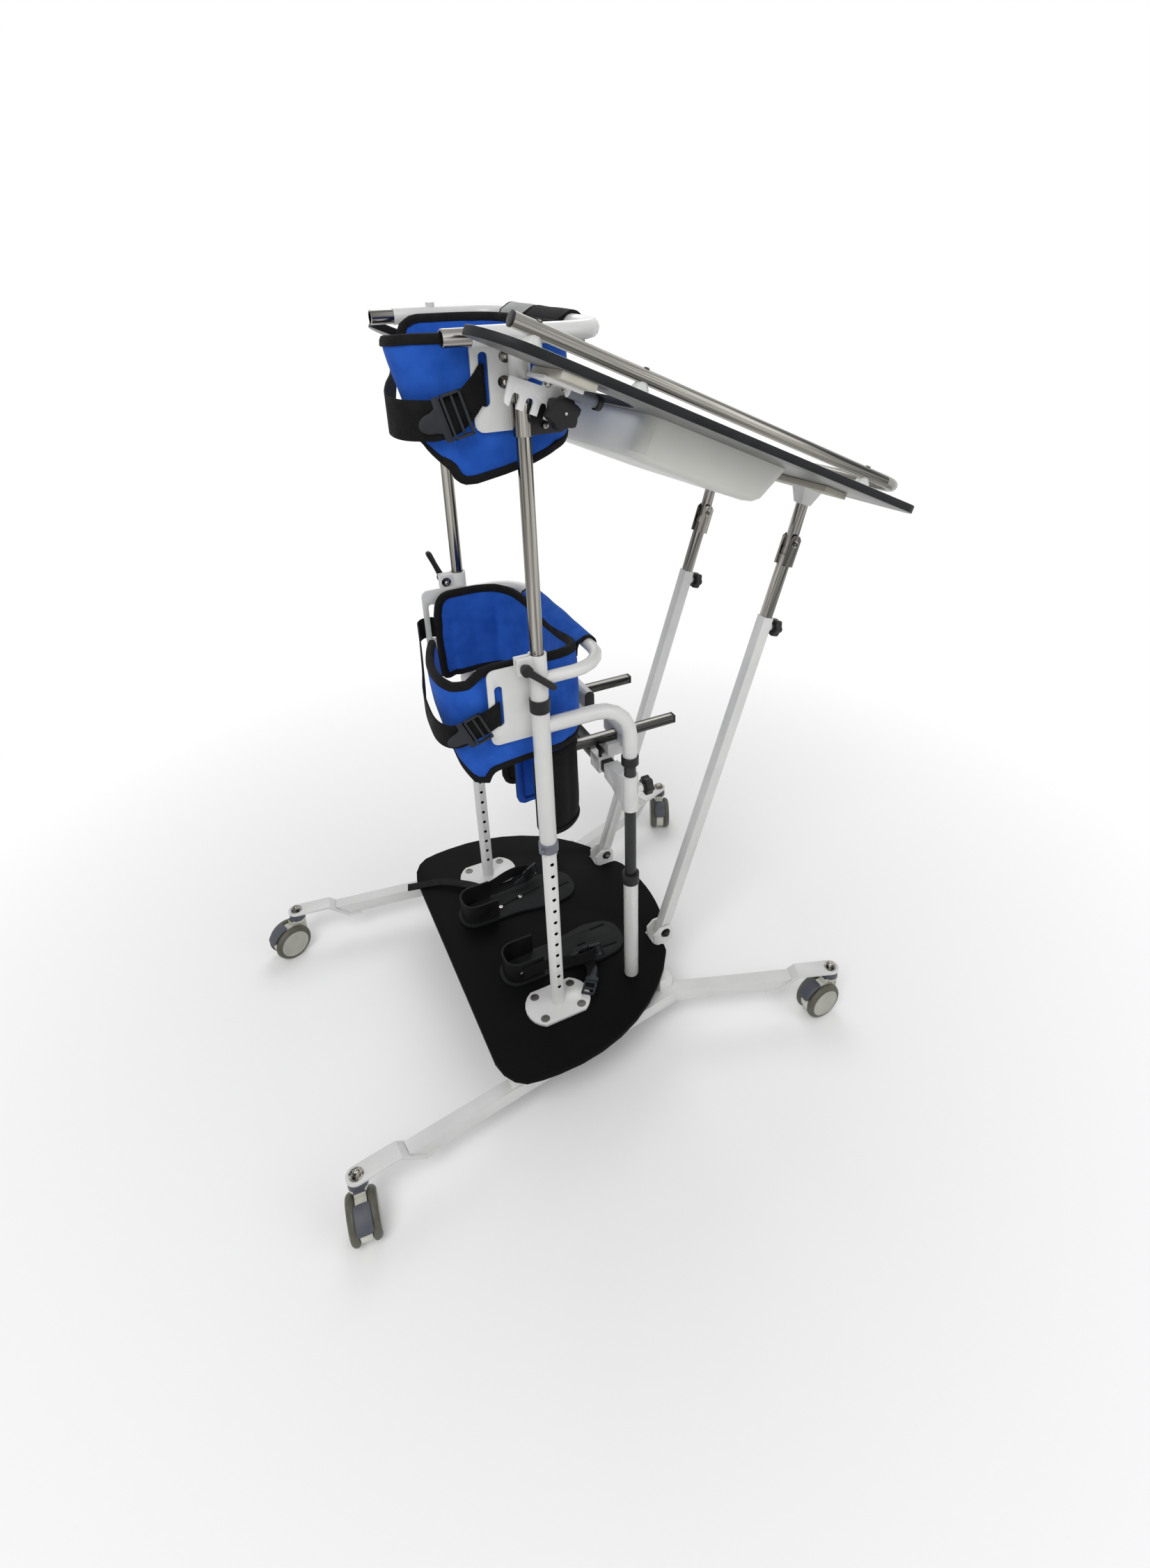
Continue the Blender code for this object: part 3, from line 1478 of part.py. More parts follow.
# Sandals on the footplate: sole with an upright heel cup.
for side, s in SIDES_OF:
    x = SANDAL_X[side]
    y = SANDAL_Y[side]
    wide = SOLE_WIDE / 2
    long = SOLE_LENGTH / 2
    low = PLATE_TOP + GAP
    sole = outline_of(
        [
            (x - 0.74 * wide, y - long, 0.030),
            (x + 0.74 * wide, y - long, 0.030),
            (x + 0.72 * wide, y - 0.1 * long, 0.200),
            (x + wide, y + 0.5 * long, 0.060),
            (x + 0.80 * wide, y + long, 0.036),
            (x - 0.80 * wide, y + long, 0.036),
            (x - wide, y + 0.5 * long, 0.060),
            (x - 0.72 * wide, y - 0.1 * long, 0.200),
        ],
        4,
    )
    sandal = prism("sandal_" + side, sole, "Z", low, low + SOLE_THICK)
    cup_half = 0.62 * wide
    cup = rounded(
        [
            (x + cup_half, y - 0.40 * long, 0.0),
            (x + cup_half, y - long + 0.008, 0.0),
            (x - cup_half, y - long + 0.008, 0.0),
            (x - cup_half, y - 0.40 * long, 0.0),
        ],
        0.024,
        5,
    )
    wall = ribbon("heel_cup_" + side, cup, low + 0.002, low + HEEL_TALL, 0.004, [0.0] * len(cup))
    join(sandal, wall)
    paint(sandal, BLACK, 0.6)
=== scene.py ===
import json
import math

import bmesh
import bpy
from mathutils import Matrix, Vector, noise

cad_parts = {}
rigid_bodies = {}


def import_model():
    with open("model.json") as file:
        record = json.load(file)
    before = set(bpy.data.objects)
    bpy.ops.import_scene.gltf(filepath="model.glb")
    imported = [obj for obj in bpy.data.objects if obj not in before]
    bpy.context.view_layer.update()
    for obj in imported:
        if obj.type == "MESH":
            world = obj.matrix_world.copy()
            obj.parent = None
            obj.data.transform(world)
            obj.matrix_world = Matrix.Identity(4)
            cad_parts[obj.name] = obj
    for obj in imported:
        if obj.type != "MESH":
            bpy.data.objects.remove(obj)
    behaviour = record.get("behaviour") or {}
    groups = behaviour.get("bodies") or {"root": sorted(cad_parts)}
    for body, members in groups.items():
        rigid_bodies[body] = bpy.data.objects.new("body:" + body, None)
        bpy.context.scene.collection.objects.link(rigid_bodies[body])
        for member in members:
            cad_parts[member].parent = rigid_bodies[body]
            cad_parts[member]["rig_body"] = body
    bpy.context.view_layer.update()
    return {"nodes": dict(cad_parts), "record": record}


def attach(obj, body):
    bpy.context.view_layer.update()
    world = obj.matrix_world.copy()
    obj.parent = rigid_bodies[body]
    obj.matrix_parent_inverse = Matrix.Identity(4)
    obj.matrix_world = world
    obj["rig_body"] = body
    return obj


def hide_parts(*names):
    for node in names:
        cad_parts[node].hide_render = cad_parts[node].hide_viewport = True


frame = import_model()
nodes = frame["nodes"]
slotOf = {part["node"]: part["material_slot"] for part in frame["record"]["subparts"]}
bodyOf = {node: nodes[node]["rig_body"] for node in slotOf}
columnLine = Vector((-0.0124, -0.0727, 0.0))  # floor point midway between the columns, in the row frame
sides = (("right", 1), ("left", -1))
upright = Vector((0, 0, 1))
meshLooks = {"weld": 0.00002, "turnedWeld": 0.000005, "flat": 0.8, "point": 0.00001}
print("frame loaded:", len(nodes), "nodes")


def at(x, y, z):
    return columnLine + Vector((x, y, z))


def shade(mesh, sharp=36):
    mesh.shade_smooth()
    mesh.set_sharp_from_angle(angle=math.radians(sharp))


def linked(name, mesh):
    obj = bpy.data.objects.new(name, mesh)
    bpy.context.scene.collection.objects.link(obj)
    return obj


def fromBmesh(name, bm, sharp=36):
    bmesh.ops.recalc_face_normals(bm, faces=bm.faces)
    mesh = bpy.data.meshes.new(name)
    bm.to_mesh(mesh)
    bm.free()
    shade(mesh, sharp)
    return linked(name, mesh)


def settle(obj):
    graph = bpy.context.evaluated_depsgraph_get()
    mesh = bpy.data.meshes.new_from_object(
        obj.evaluated_get(graph), preserve_all_data_layers=True, depsgraph=graph
    )
    plain = obj.data
    obj.modifiers.clear()
    obj.data = mesh
    bpy.data.meshes.remove(plain)
    return obj


def softenEdges(obj, width, sharp=36):
    bevel = obj.modifiers.new("edges", "BEVEL")
    bevel.width = width
    bevel.segments = 2
    bevel.limit_method = "ANGLE"
    bevel.angle_limit = math.radians(sharp)
    settle(obj)
    shade(obj.data, sharp)
    return obj


def dress(obj, body, finishes, stands=()):
    picked = [face.material_index for face in obj.data.polygons]
    obj.data.materials.clear()
    for finish in finishes:
        obj.data.materials.append(finish)
    obj.data.polygons.foreach_set("material_index", picked)
    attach(obj, body)
    if stands:
        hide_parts(*stands)
    return obj


def dressAs(node, obj, finishes, stands=()):
    return dress(obj, bodyOf[node], finishes, stands)


def carved(obj, cutter):
    cut = obj.modifiers.new("carve", "BOOLEAN")
    cut.operation = "DIFFERENCE"
    cut.solver = "EXACT"
    cut.object = cutter
    settle(obj)
    spare = cutter.data
    bpy.data.objects.remove(cutter)
    bpy.data.meshes.remove(spare)


def refine(node, finishes, edge=0.0008, sharp=36, choose=None, carve=None, cut=None):
    bm = bmesh.new()
    bm.from_mesh(nodes[node].data)
    bmesh.ops.remove_doubles(bm, verts=bm.verts, dist=meshLooks["weld"])
    flat = math.radians(meshLooks["flat"])
    bmesh.ops.dissolve_limit(bm, angle_limit=flat, verts=bm.verts, edges=bm.edges)
    if cut:
        everything = bm.verts[:] + bm.edges[:] + bm.faces[:]
        bmesh.ops.bisect_plane(bm, geom=everything, plane_co=cut, plane_no=(0, 1, 0))
    obj = fromBmesh(node + "_shown", bm, sharp)
    if carve:
        carved(obj, carve)
    softenEdges(obj, edge, sharp)
    for face in obj.data.polygons:
        face.material_index = choose(face.center - columnLine, face.normal) if choose else 0
    return dressAs(node, obj, finishes, (node,))


def lathe(bm, profile, origin, axis, finish=0, count=32):
    side = axis.orthogonal().normalized()
    other = axis.cross(side)
    rings = []
    for reach, radius in profile:
        middle = origin + axis * reach
        if radius < meshLooks["point"]:
            rings.append([bm.verts.new(middle)])
            continue
        turns = [2 * math.pi * k / count for k in range(count)]
        rings.append(
            [bm.verts.new(middle + (side * math.cos(t) + other * math.sin(t)) * radius) for t in turns]
        )
    for one, two in zip(rings, rings[1:]):
        for i in range(count):
            j = (i + 1) % count
            corners = (one[i % len(one)], one[j % len(one)], two[j % len(two)], two[i % len(two)])
            face = bm.faces.new(list(dict.fromkeys(corners)))
            face.material_index = finish


def turnedPart(name, body, finishes, runs, stands=()):
    bm = bmesh.new()
    for run in runs:
        lathe(bm, *run)
    bmesh.ops.remove_doubles(bm, verts=bm.verts, dist=meshLooks["turnedWeld"])
    return dress(fromBmesh(name, bm), body, finishes, stands)


def ringRun(inner, outer, low, high, ease=0.0008):
    return [
        (low, inner), (low, outer - ease), (low + ease, outer), (high - ease, outer), (high, outer - ease),
        (high, inner), (low, inner),
    ]


def domeRun(radius, low, high, dome):
    run = [(low, 0.0), (low, radius), (high, radius)]
    run += [(high + dome * math.sin(a), radius * math.cos(a)) for a in (0.4, 0.8, 1.2)]
    return run + [(high + dome, 0.0)]


def slab(bm, outline, origin, alongAxis, upAxis, outAxis, low, high):
    lower = [bm.verts.new(origin + alongAxis * a + upAxis * b + outAxis * low) for a, b in outline]
    upper = [bm.verts.new(origin + alongAxis * a + upAxis * b + outAxis * high) for a, b in outline]
    count = len(outline)
    for i in range(count):
        j = (i + 1) % count
        bm.faces.new((lower[i], lower[j], upper[j], upper[i]))
    bm.faces.new(lower[::-1])
    bm.faces.new(upper)


def rectangle(a0, a1, b0, b1):
    return [(a0, b0), (a1, b0), (a1, b1), (a0, b1)]


# corners of soft pieces carry their place on the cloth's map: vertex, u, v
def clothMesh():
    bm = bmesh.new()
    return bm, bm.loops.layers.uv.new("cloth")


def clothFace(bm, uv, corners, finish=0):
    face = bm.faces.new([c[0] for c in corners])
    face.material_index = finish
    for loop, c in zip(face.loops, corners):
        loop[uv].uv = c[1:]


def skin(bm, uv, rings, pick=lambda k, i, corners: 0):
    for k, (first, second) in enumerate(zip(rings, rings[1:])):
        for i in range(len(first)):
            j = (i + 1) % len(first)
            corners = (first[i], second[i], second[j], first[j])
            clothFace(bm, uv, corners, pick(k, i, corners))


# materials: each starts from a plain shader, then gets clouds, grain and wear from its nodes
def plainFinish(name, colour, rough, metal=0.0, **sockets):
    finish = bpy.data.materials.new(name)
    finish.use_nodes = True
    shader = finish.node_tree.nodes["Principled BSDF"]
    shader.inputs["Base Color"].default_value = (*colour, 1.0)
    shader.inputs["Roughness"].default_value = rough
    shader.inputs["Metallic"].default_value = metal
    for label, value in sockets.items():
        shader.inputs[label.replace("_", " ")].default_value = value
    return finish


def treeNode(tree, kind, links=(), settings=(), values=()):
    node = tree.nodes.new(kind)
    for label, value in dict(settings).items():
        setattr(node, label, value)
    for label, value in dict(values).items():
        node.inputs[label].default_value = value
    for label, source in dict(links).items():
        tree.links.new(source, node.inputs[label])
    return node


def mathNode(tree, operation, *terms):
    values = {k: term for k, term in enumerate(terms) if isinstance(term, float)}
    links = {k: term for k, term in enumerate(terms) if k not in values}
    return treeNode(tree, "ShaderNodeMath", links, {"operation": operation}, values).outputs[0]


def objectNoise(tree, scale, detail=3.0, stretch=(1, 1, 1), turn=0.0, fine=0.5):
    where = treeNode(tree, "ShaderNodeTexCoord").outputs["Object"]
    if turn:
        where = treeNode(
            tree, "ShaderNodeVectorRotate", {"Vector": where}, {"rotation_type": "X_AXIS"},
            {"Angle": math.radians(turn)},
        ).outputs["Vector"]
    drawn = treeNode(tree, "ShaderNodeMapping", {"Vector": where}, values={"Scale": stretch})
    grain = {"Scale": scale, "Detail": detail, "Roughness": fine}
    return treeNode(tree, "ShaderNodeTexNoise", {"Vector": drawn.outputs[0]}, values=grain).outputs["Fac"]


def ranged(tree, value, low, high, toLow=0.0, toHigh=1.0):
    limits = {"From Min": low, "From Max": high, "To Min": toLow, "To Max": toHigh}
    return treeNode(tree, "ShaderNodeMapRange", {"Value": value}, values=limits).outputs["Result"]


def mixColour(tree, amount, first, second):
    colours = {6: (*first, 1.0), 7: (*second, 1.0)}
    return treeNode(tree, "ShaderNodeMix", {"Factor": amount}, {"data_type": "RGBA"}, colours).outputs[2]


def addBump(finish, height, depth, strength=0.5):
    tree = finish.node_tree
    normal = tree.nodes["Principled BSDF"].inputs["Normal"]
    links = {"Height": height}
    if normal.is_linked:
        links["Normal"] = normal.links[0].from_socket
    bump = treeNode(tree, "ShaderNodeBump", links, values={"Distance": depth, "Strength": strength})
    tree.links.new(bump.outputs["Normal"], normal)


# the streak span sets the contrast of the painted reflections on metal tubes
finishLooks = {"wear": (0.3, 0.7), "clouds": (0.38, 0.66), "reflectionStreaks": (0.38, 0.62)}


def twoTone(finish, pattern, span, first, second, rough):
    tree = finish.node_tree
    shader = tree.nodes["Principled BSDF"]
    tone = mixColour(tree, ranged(tree, pattern, *span), first, second)
    tree.links.new(tone, shader.inputs["Base Color"])
    tree.links.new(ranged(tree, pattern, *finishLooks["wear"], *rough), shader.inputs["Roughness"])
    return finish


def clouded(name, colour, tint, cloud, rough, grain, depth, stretch=(1, 1, 1), strength=0.5, **sockets):
    finish = plainFinish(name, colour, rough[0], **sockets)
    clouds = objectNoise(finish.node_tree, cloud, 4.0, stretch)
    twoTone(finish, clouds, finishLooks["clouds"], colour, tint, rough)
    addBump(finish, objectNoise(finish.node_tree, grain, 2.0, stretch), depth, strength)
    return finish


# painted reflection: dark and light bands stretched along a tube, with the roughness following them
def reflectionStreaked(name, dark, light, stretch, turn=0.0, pitch=150.0, rough=(0.10, 0.24)):
    finish = plainFinish(name, light, rough[0], 1.0)
    reflectionStreaks = objectNoise(finish.node_tree, pitch, 4.0, stretch, turn, 0.6)
    return twoTone(finish, reflectionStreaks, finishLooks["reflectionStreaks"], dark, light, rough)


# metal tubes get painted reflections: dark and light streaks along their length stand in for a room mirrored
# in them; columns stand, the rail and the struts lean, bars lie
alongX, alongY, alongZ = (0.012, 1, 1), (1, 0.012, 1), (1, 1, 0.012)
railLooks = {
    "dark": (0.040, 0.039, 0.036), "light": (0.52, 0.50, 0.46), "turn": 23.77, "pitch": 130.0,
    "rough": (0.16, 0.30),
}
chrome = reflectionStreaked("chrome_plate", (0.022, 0.021, 0.019), (0.46, 0.44, 0.40), alongZ)
strutChrome = reflectionStreaked("strut_chrome", (0.040, 0.039, 0.036), (0.42, 0.40, 0.37), alongZ, 19.3)
barSteel = reflectionStreaked("bar_steel", (0.030, 0.029, 0.028), (0.27, 0.26, 0.24), alongY)
# a darker copy of the bar steel paints shade on the bar's sideways faces
barShadedSides = reflectionStreaked("bar_steel_painted_side_shade", (0.022, 0.023, 0.022), (0.095, 0.094, 0.090), alongY)
stainless = reflectionStreaked("stainless_painted_reflections", stretch=alongY, **railLooks)
railFront = reflectionStreaked("rail_front_steel", stretch=alongX, **railLooks)
railBend = plainFinish("rail_bend_steel", (0.30, 0.29, 0.265), 0.22, 1.0)
tipSteel = reflectionStreaked("tip_steel", (0.10, 0.098, 0.092), (0.50, 0.48, 0.45), alongY)
screwSteel = plainFinish("screw_steel", (0.125, 0.12, 0.11), 0.42, 1.0)
whiteCoat = clouded(
    "white_powder_coat", (0.70, 0.70, 0.69), (0.62, 0.625, 0.615), 9.0, (0.24, 0.36), 900.0, 0.00006,
    Coat_Weight=0.25, Coat_Roughness=0.18,
)
darkCoat = clouded(
    "charcoal_coat", (0.011, 0.012, 0.013), (0.022, 0.023, 0.024), 14.0, (0.26, 0.40), 700.0, 0.00005,
    Specular_IOR_Level=0.35,
)
# black moulded plastic, also used as painted shade inside the column-foot pin bores
blackPlasticAndBoreShade = clouded(
    "black_plastic_and_bore_shade", (0.006, 0.006, 0.007), (0.012, 0.012, 0.013),
    25.0, (0.34, 0.50), 1400.0, 0.00010,
    Specular_IOR_Level=0.3,
)
slateBlack = clouded(
    "buckle_plastic", (0.013, 0.016, 0.020), (0.020, 0.023, 0.028), 30.0, (0.42, 0.56), 1400.0, 0.00008,
    Specular_IOR_Level=0.3,
)
greyPlastic = clouded(
    "grey_moulded_plastic", (0.155, 0.165, 0.20), (0.125, 0.135, 0.165),
    30.0, (0.38, 0.52), 1200.0, 0.00008,
)
slatePlastic = clouded(
    "slate_moulded_plastic", (0.055, 0.062, 0.078), (0.075, 0.080, 0.095),
    40.0, (0.44, 0.58), 1200.0, 0.00010,
)
hoodPlastic = clouded(
    "hood_plastic", (0.67, 0.67, 0.61), (0.56, 0.55, 0.48), 22.0, (0.30, 0.46), 1100.0, 0.00006,
    Subsurface_Weight=0.05,
)
treadRubber = clouded(
    "worn_tread_rubber", (0.062, 0.062, 0.044), (0.100, 0.098, 0.076), 60.0, (0.42, 0.66), 900.0, 0.00018,
)
milkyPlastic = clouded(
    "milky_basin_plastic", (0.73, 0.74, 0.69), (0.66, 0.67, 0.62), 6.0, (0.36, 0.48), 700.0, 0.00006,
    Subsurface_Weight=0.15, Subsurface_Radius=(0.012, 0.012, 0.011),
)
plateBoard = clouded(
    "matt_black_plate", (0.0022, 0.0022, 0.0022), (0.0048, 0.0048, 0.0046),
    5.0, (0.52, 0.72), 1500.0, 0.00020,
    Specular_IOR_Level=0.05,
)
boardEdge = clouded(
    "charcoal_board_edge", (0.006, 0.007, 0.008), (0.015, 0.016, 0.018),
    18.0, (0.42, 0.60), 900.0, 0.00010, (1, 1, 3),
    Specular_IOR_Level=0.2,
)
boardFace = clouded(
    "grey_laminate", (0.19, 0.19, 0.18), (0.15, 0.15, 0.142), 7.0, (0.34, 0.48), 1100.0, 0.00006,
)
battenWood = clouded(
    "pale_batten", (0.50, 0.48, 0.41), (0.36, 0.34, 0.28), 14.0, (0.52, 0.70), 260.0, 0.00020, (0.25, 3, 6),
)
laminate = clouded(
    "white_laminate", (0.69, 0.69, 0.67), (0.63, 0.63, 0.61), 5.0, (0.30, 0.42), 1000.0, 0.00004,
)
blockBoard = clouded(
    "cream_block", (0.54, 0.52, 0.46), (0.44, 0.42, 0.36), 20.0, (0.44, 0.60), 500.0, 0.00012,
)
# a brighter copy of the white powder coat for the comb: painted light
combLitCoat = clouded(
    "comb_coat_painted_light", (0.87, 0.87, 0.87), (0.82, 0.82, 0.82), 20.0, (0.24, 0.32), 900.0, 0.00004,
    Coat_Weight=0.3, Coat_Roughness=0.15,
)
coverPlastic = clouded(
    "wheel_cover_plastic", (0.43, 0.43, 0.385), (0.36, 0.36, 0.315), 30.0, (0.36, 0.50), 1200.0, 0.00008,
)
spacerPlastic = clouded(
    "spacer_plastic", (0.63, 0.64, 0.62), (0.56, 0.57, 0.55), 40.0, (0.26, 0.36), 900.0, 0.00004,
    Subsurface_Weight=0.1,
)
soleRubber = clouded(
    "sole_rubber", (0.0076, 0.0084, 0.009), (0.013, 0.014, 0.0148), 26.0, (0.50, 0.68), 1300.0, 0.00020,
    Specular_IOR_Level=0.12,
)
cupPlastic = clouded(
    "heel_cup_plastic", (0.0026, 0.0026, 0.0028), (0.006, 0.006, 0.0062),
    24.0, (0.42, 0.58), 1300.0, 0.00012,
    Specular_IOR_Level=0.15,
)
print("plain finishes ready")


# node trees for fasteners on points and for stitches along a path
def newTree(name, labels):
    tree = bpy.data.node_groups.new(name, "GeometryNodeTree")
    kinds = {"Geometry": "Geometry", **{label: "Float" for label in labels}, "Material": "Material"}
    for label, kind in kinds.items():
        tree.interface.new_socket(label, in_out="INPUT", socket_type="NodeSocket" + kind)
    tree.interface.new_socket("Geometry", in_out="OUTPUT", socket_type="NodeSocketGeometry")
    return tree, tree.nodes.new("NodeGroupInput").outputs


def closeTree(tree, given, points, shape, direction, size=None):
    turn = treeNode(tree, "FunctionNodeAlignRotationToVector", {"Vector": direction}, {"axis": "Z"})
    copies = treeNode(
        tree, "GeometryNodeInstanceOnPoints",
        {"Points": points, "Instance": shape, "Rotation": turn.outputs[0]},
    )
    if size:
        tree.links.new(size, copies.inputs["Scale"])
    real = treeNode(tree, "GeometryNodeRealizeInstances", {"Geometry": copies.outputs[0]})
    paint = {"Geometry": real.outputs[0], "Material": given["Material"]}
    painted = treeNode(tree, "GeometryNodeSetMaterial", paint)
    tree.links.new(painted.outputs[0], tree.nodes.new("NodeGroupOutput").inputs["Geometry"])
    return tree


def facingWay(tree):
    kind = {"data_type": "FLOAT_VECTOR"}
    return treeNode(tree, "GeometryNodeInputNamedAttribute", (), kind, {"Name": "facing"}).outputs[0]


def grow(name, points, edges, tree, values, facing=None):
    mesh = bpy.data.meshes.new(name)
    mesh.from_pydata([tuple(p) for p in points], edges, [])
    if facing:
        aim = mesh.attributes.new("facing", "FLOAT_VECTOR", "POINT")
        for item, direction in zip(aim.data, facing):
            item.vector = direction
    obj = linked(name, mesh)
    modifier = obj.modifiers.new("grow", "NODES")
    modifier.node_group = tree
    identifiers = {
        item.name: item.identifier
        for item in tree.interface.items_tree
        if item.item_type == "SOCKET" and item.in_out == "INPUT"
    }
    for label, value in values.items():
        modifier[identifiers[label]] = value
    settle(obj)
    shade(obj.data)
    return obj


# nuts and screws are drawn at radius 1 and scaled to their size
def domedNutTree():
    tree, given = newTree("domed_nuts", ("Size",))
    joined = treeNode(tree, "GeometryNodeJoinGeometry")
    for kind, values, lift in (
        ("GeometryNodeMeshCylinder", {"Vertices": 24, "Radius": 1.42, "Depth": 0.2}, 0.1),
        ("GeometryNodeMeshCylinder", {"Vertices": 6, "Radius": 1.0, "Depth": 0.62}, 0.51),
        ("GeometryNodeMeshUVSphere", {"Segments": 18, "Rings": 10, "Radius": 0.74}, 0.62),
    ):
        shape = treeNode(tree, kind, values=values).outputs[0]
        moved = treeNode(
            tree, "GeometryNodeTransform", {"Geometry": shape}, values={"Translation": (0, 0, lift)}
        )
        tree.links.new(moved.outputs[0], joined.inputs[0])
    return closeTree(tree, given, given["Geometry"], joined.outputs[0], facingWay(tree), given["Size"])


def socketScrewTree():
    tree, given = newTree("socket_screws", ("Size", "High", "Depth"))
    faces = {"mode": "FACES"}
    head = treeNode(
        tree, "GeometryNodeMeshCone", {"Depth": given["High"]},
        values={"Vertices": 24, "Radius Bottom": 1.0, "Radius Top": 0.86},
    )
    top = {"Mesh": head.outputs["Mesh"], "Selection": head.outputs["Top"]}
    rim = treeNode(tree, "GeometryNodeExtrudeMesh", top, faces, {"Offset Scale": 0.0})
    middle = {"Geometry": rim.outputs["Mesh"], "Selection": rim.outputs["Top"]}
    inner = treeNode(tree, "GeometryNodeScaleElements", middle, values={"Scale": 0.55})
    sunk = treeNode(
        tree, "GeometryNodeExtrudeMesh",
        {"Mesh": inner.outputs[0], "Selection": rim.outputs["Top"], "Offset Scale": given["Depth"]}, faces,
    )
    return closeTree(tree, given, given["Geometry"], sunk.outputs["Mesh"], facingWay(tree), given["Size"])


def stitchTree():
    tree, given = newTree("stitches", ("Pitch", "Length", "Thread"))
    line = treeNode(tree, "GeometryNodeMeshToCurve", {"Mesh": given["Geometry"]})
    spaced = treeNode(
        tree, "GeometryNodeCurveToPoints", {"Curve": line.outputs[0], "Length": given["Pitch"]},
        {"mode": "LENGTH"},
    ).outputs
    thread = treeNode(
        tree, "GeometryNodeMeshCylinder", {"Radius": given["Thread"], "Depth": given["Length"]},
        values={"Vertices": 6},
    )
    return closeTree(tree, given, spaced["Points"], thread.outputs["Mesh"], spaced["Tangent"])


domedNuts = domedNutTree()
socketScrews = socketScrewTree()
stitches = stitchTree()
screwLooks = {"deepest": 0.3, "share": 0.6}


def fastened(name, body, spots, tree, finish, values):
    places = [spot for spot, aim in spots]
    obj = grow(name, places, [], tree, {**values, "Material": finish}, [aim for spot, aim in spots])
    return dress(obj, body, [finish])


def nutsOn(name, body, spots, size, finish=chrome):
    return fastened(name, body, spots, domedNuts, finish, {"Size": size})


def screwsOn(name, body, slot, spots, size, finish=chrome, high=0.4):
    depth = min(screwLooks["deepest"], screwLooks["share"] * high)
    values = {"Size": size, "High": high, "Depth": -depth}
    return fastened(name, body, spots, socketScrews, finish, values)


print("node trees ready")

# base: plate, legs, column feet and posts keep their solids, with eased edges
frameLooks = {
    "column": 0.190, "pinBore": 0.0116, "pinsFrom": 0.17, "postCap": 0.352, "carrier": 0.085,
    "carrierCap": (0.045, 0.0011, 0.56), "barCap": 0.2898, "sideways": 0.7, "knobStud": 0.1884,
    "gripHalf": 0.1172,
}


# faces inside the pin bores take the black finish: painted shade in the holes
def footBoreShadePick(c, n):
    shadedBore = math.hypot(abs(c.x) - frameLooks["column"], c.y) < frameLooks["pinBore"]
    return int(shadedBore and c.z > frameLooks["pinsFrom"])


def carrierPick(c, n):
    reach, margin, low = frameLooks["carrierCap"]
    return int(abs(abs(abs(c.x) - frameLooks["carrier"]) - reach) < margin and c.z > low)


# sideways faces of the bar take the darker steel copy as painted shade; the cut end takes black plastic
def barPick(c, n):
    return 1 if c.y > frameLooks["barCap"] else 2 * int(abs(n.x) > frameLooks["sideways"])


sideSolids = {
    # the black finish here is painted shade inside the pin bores
    "column_foot_": {"finishes": [whiteCoat, blackPlasticAndBoreShade], "edge": 0.0005, "choose": footBoreShadePick},
    "guide_post_": {
        "finishes": [whiteCoat, blackPlasticAndBoreShade], "edge": 0.0006,
        "choose": lambda c, n: int(c.z > frameLooks["postCap"]),
    },
    "inner_post_": {"finishes": [darkCoat], "edge": 0.0004},
    "outer_column_": {"finishes": [whiteCoat], "edge": 0.0006},
    "chrome_column_": {"finishes": [chrome], "edge": 0.0005},
    "clamp_lever_": {"finishes": [blackPlasticAndBoreShade], "edge": 0.0014},
    "knee_carrier_": {"finishes": [whiteCoat, blackPlasticAndBoreShade], "edge": 0.0010, "choose": carrierPick},
    "knee_bar_": {
        "finishes": [barSteel, blackPlasticAndBoreShade, barShadedSides], "choose": barPick,
        "cut": at(0, frameLooks["barCap"], 0),
    },
    "strut_tube_": {"finishes": [whiteCoat], "edge": 0.0014},
    "strut_slider_": {"finishes": [strutChrome]},
    "strut_knob_": {"finishes": [blackPlasticAndBoreShade], "edge": 0.0014},
    "knee_knob_": {
        "finishes": [blackPlasticAndBoreShade, chrome], "edge": 0.0010,
        "choose": lambda c, n: int(c.y > frameLooks["knobStud"]),
    },
}
refine("footplate", [plateBoard], 0.0022)
refine("base_frame", [whiteCoat], 0.0016, 30)
for side, s in sides:
    for name, settings in sideSolids.items():
        refine(name + side, **settings)
refine("hip_ring", [whiteCoat])
chestRing = refine("chest_ring", [whiteCoat])
ringTip = {
    "x": 0.190, "high": 1.266, "from": -0.0595, "rear": -0.0700, "inner": 0.176, "low": 1.250,
    "run": [
        (0.0, 0.0), (0.0, 0.0111), (0.0346, 0.0111), (0.0355, 0.0104), (0.0355, 0.0092), (0.0120, 0.0092),
        (0.0120, 0.0),
    ],
}
for vert in chestRing.data.vertices:
    spot = vert.co - columnLine
    if spot.y < ringTip["rear"] and spot.z > ringTip["low"] and abs(spot.x) > ringTip["inner"]:
        vert.co.y = columnLine.y + ringTip["rear"]
tipRuns = []
for side, s in sides:
    root = at(s * ringTip["x"], ringTip["from"], ringTip["high"])
    tipRuns.append((ringTip["run"], root, Vector((0, -1, 0))))
turnedPart("chest_ring_tips", "chest_unit", [tipSteel], tipRuns)
refine(
    "knee_crossbar", [whiteCoat, blackPlasticAndBoreShade], choose=lambda c, n: int(abs(c.x) < frameLooks["gripHalf"])
)

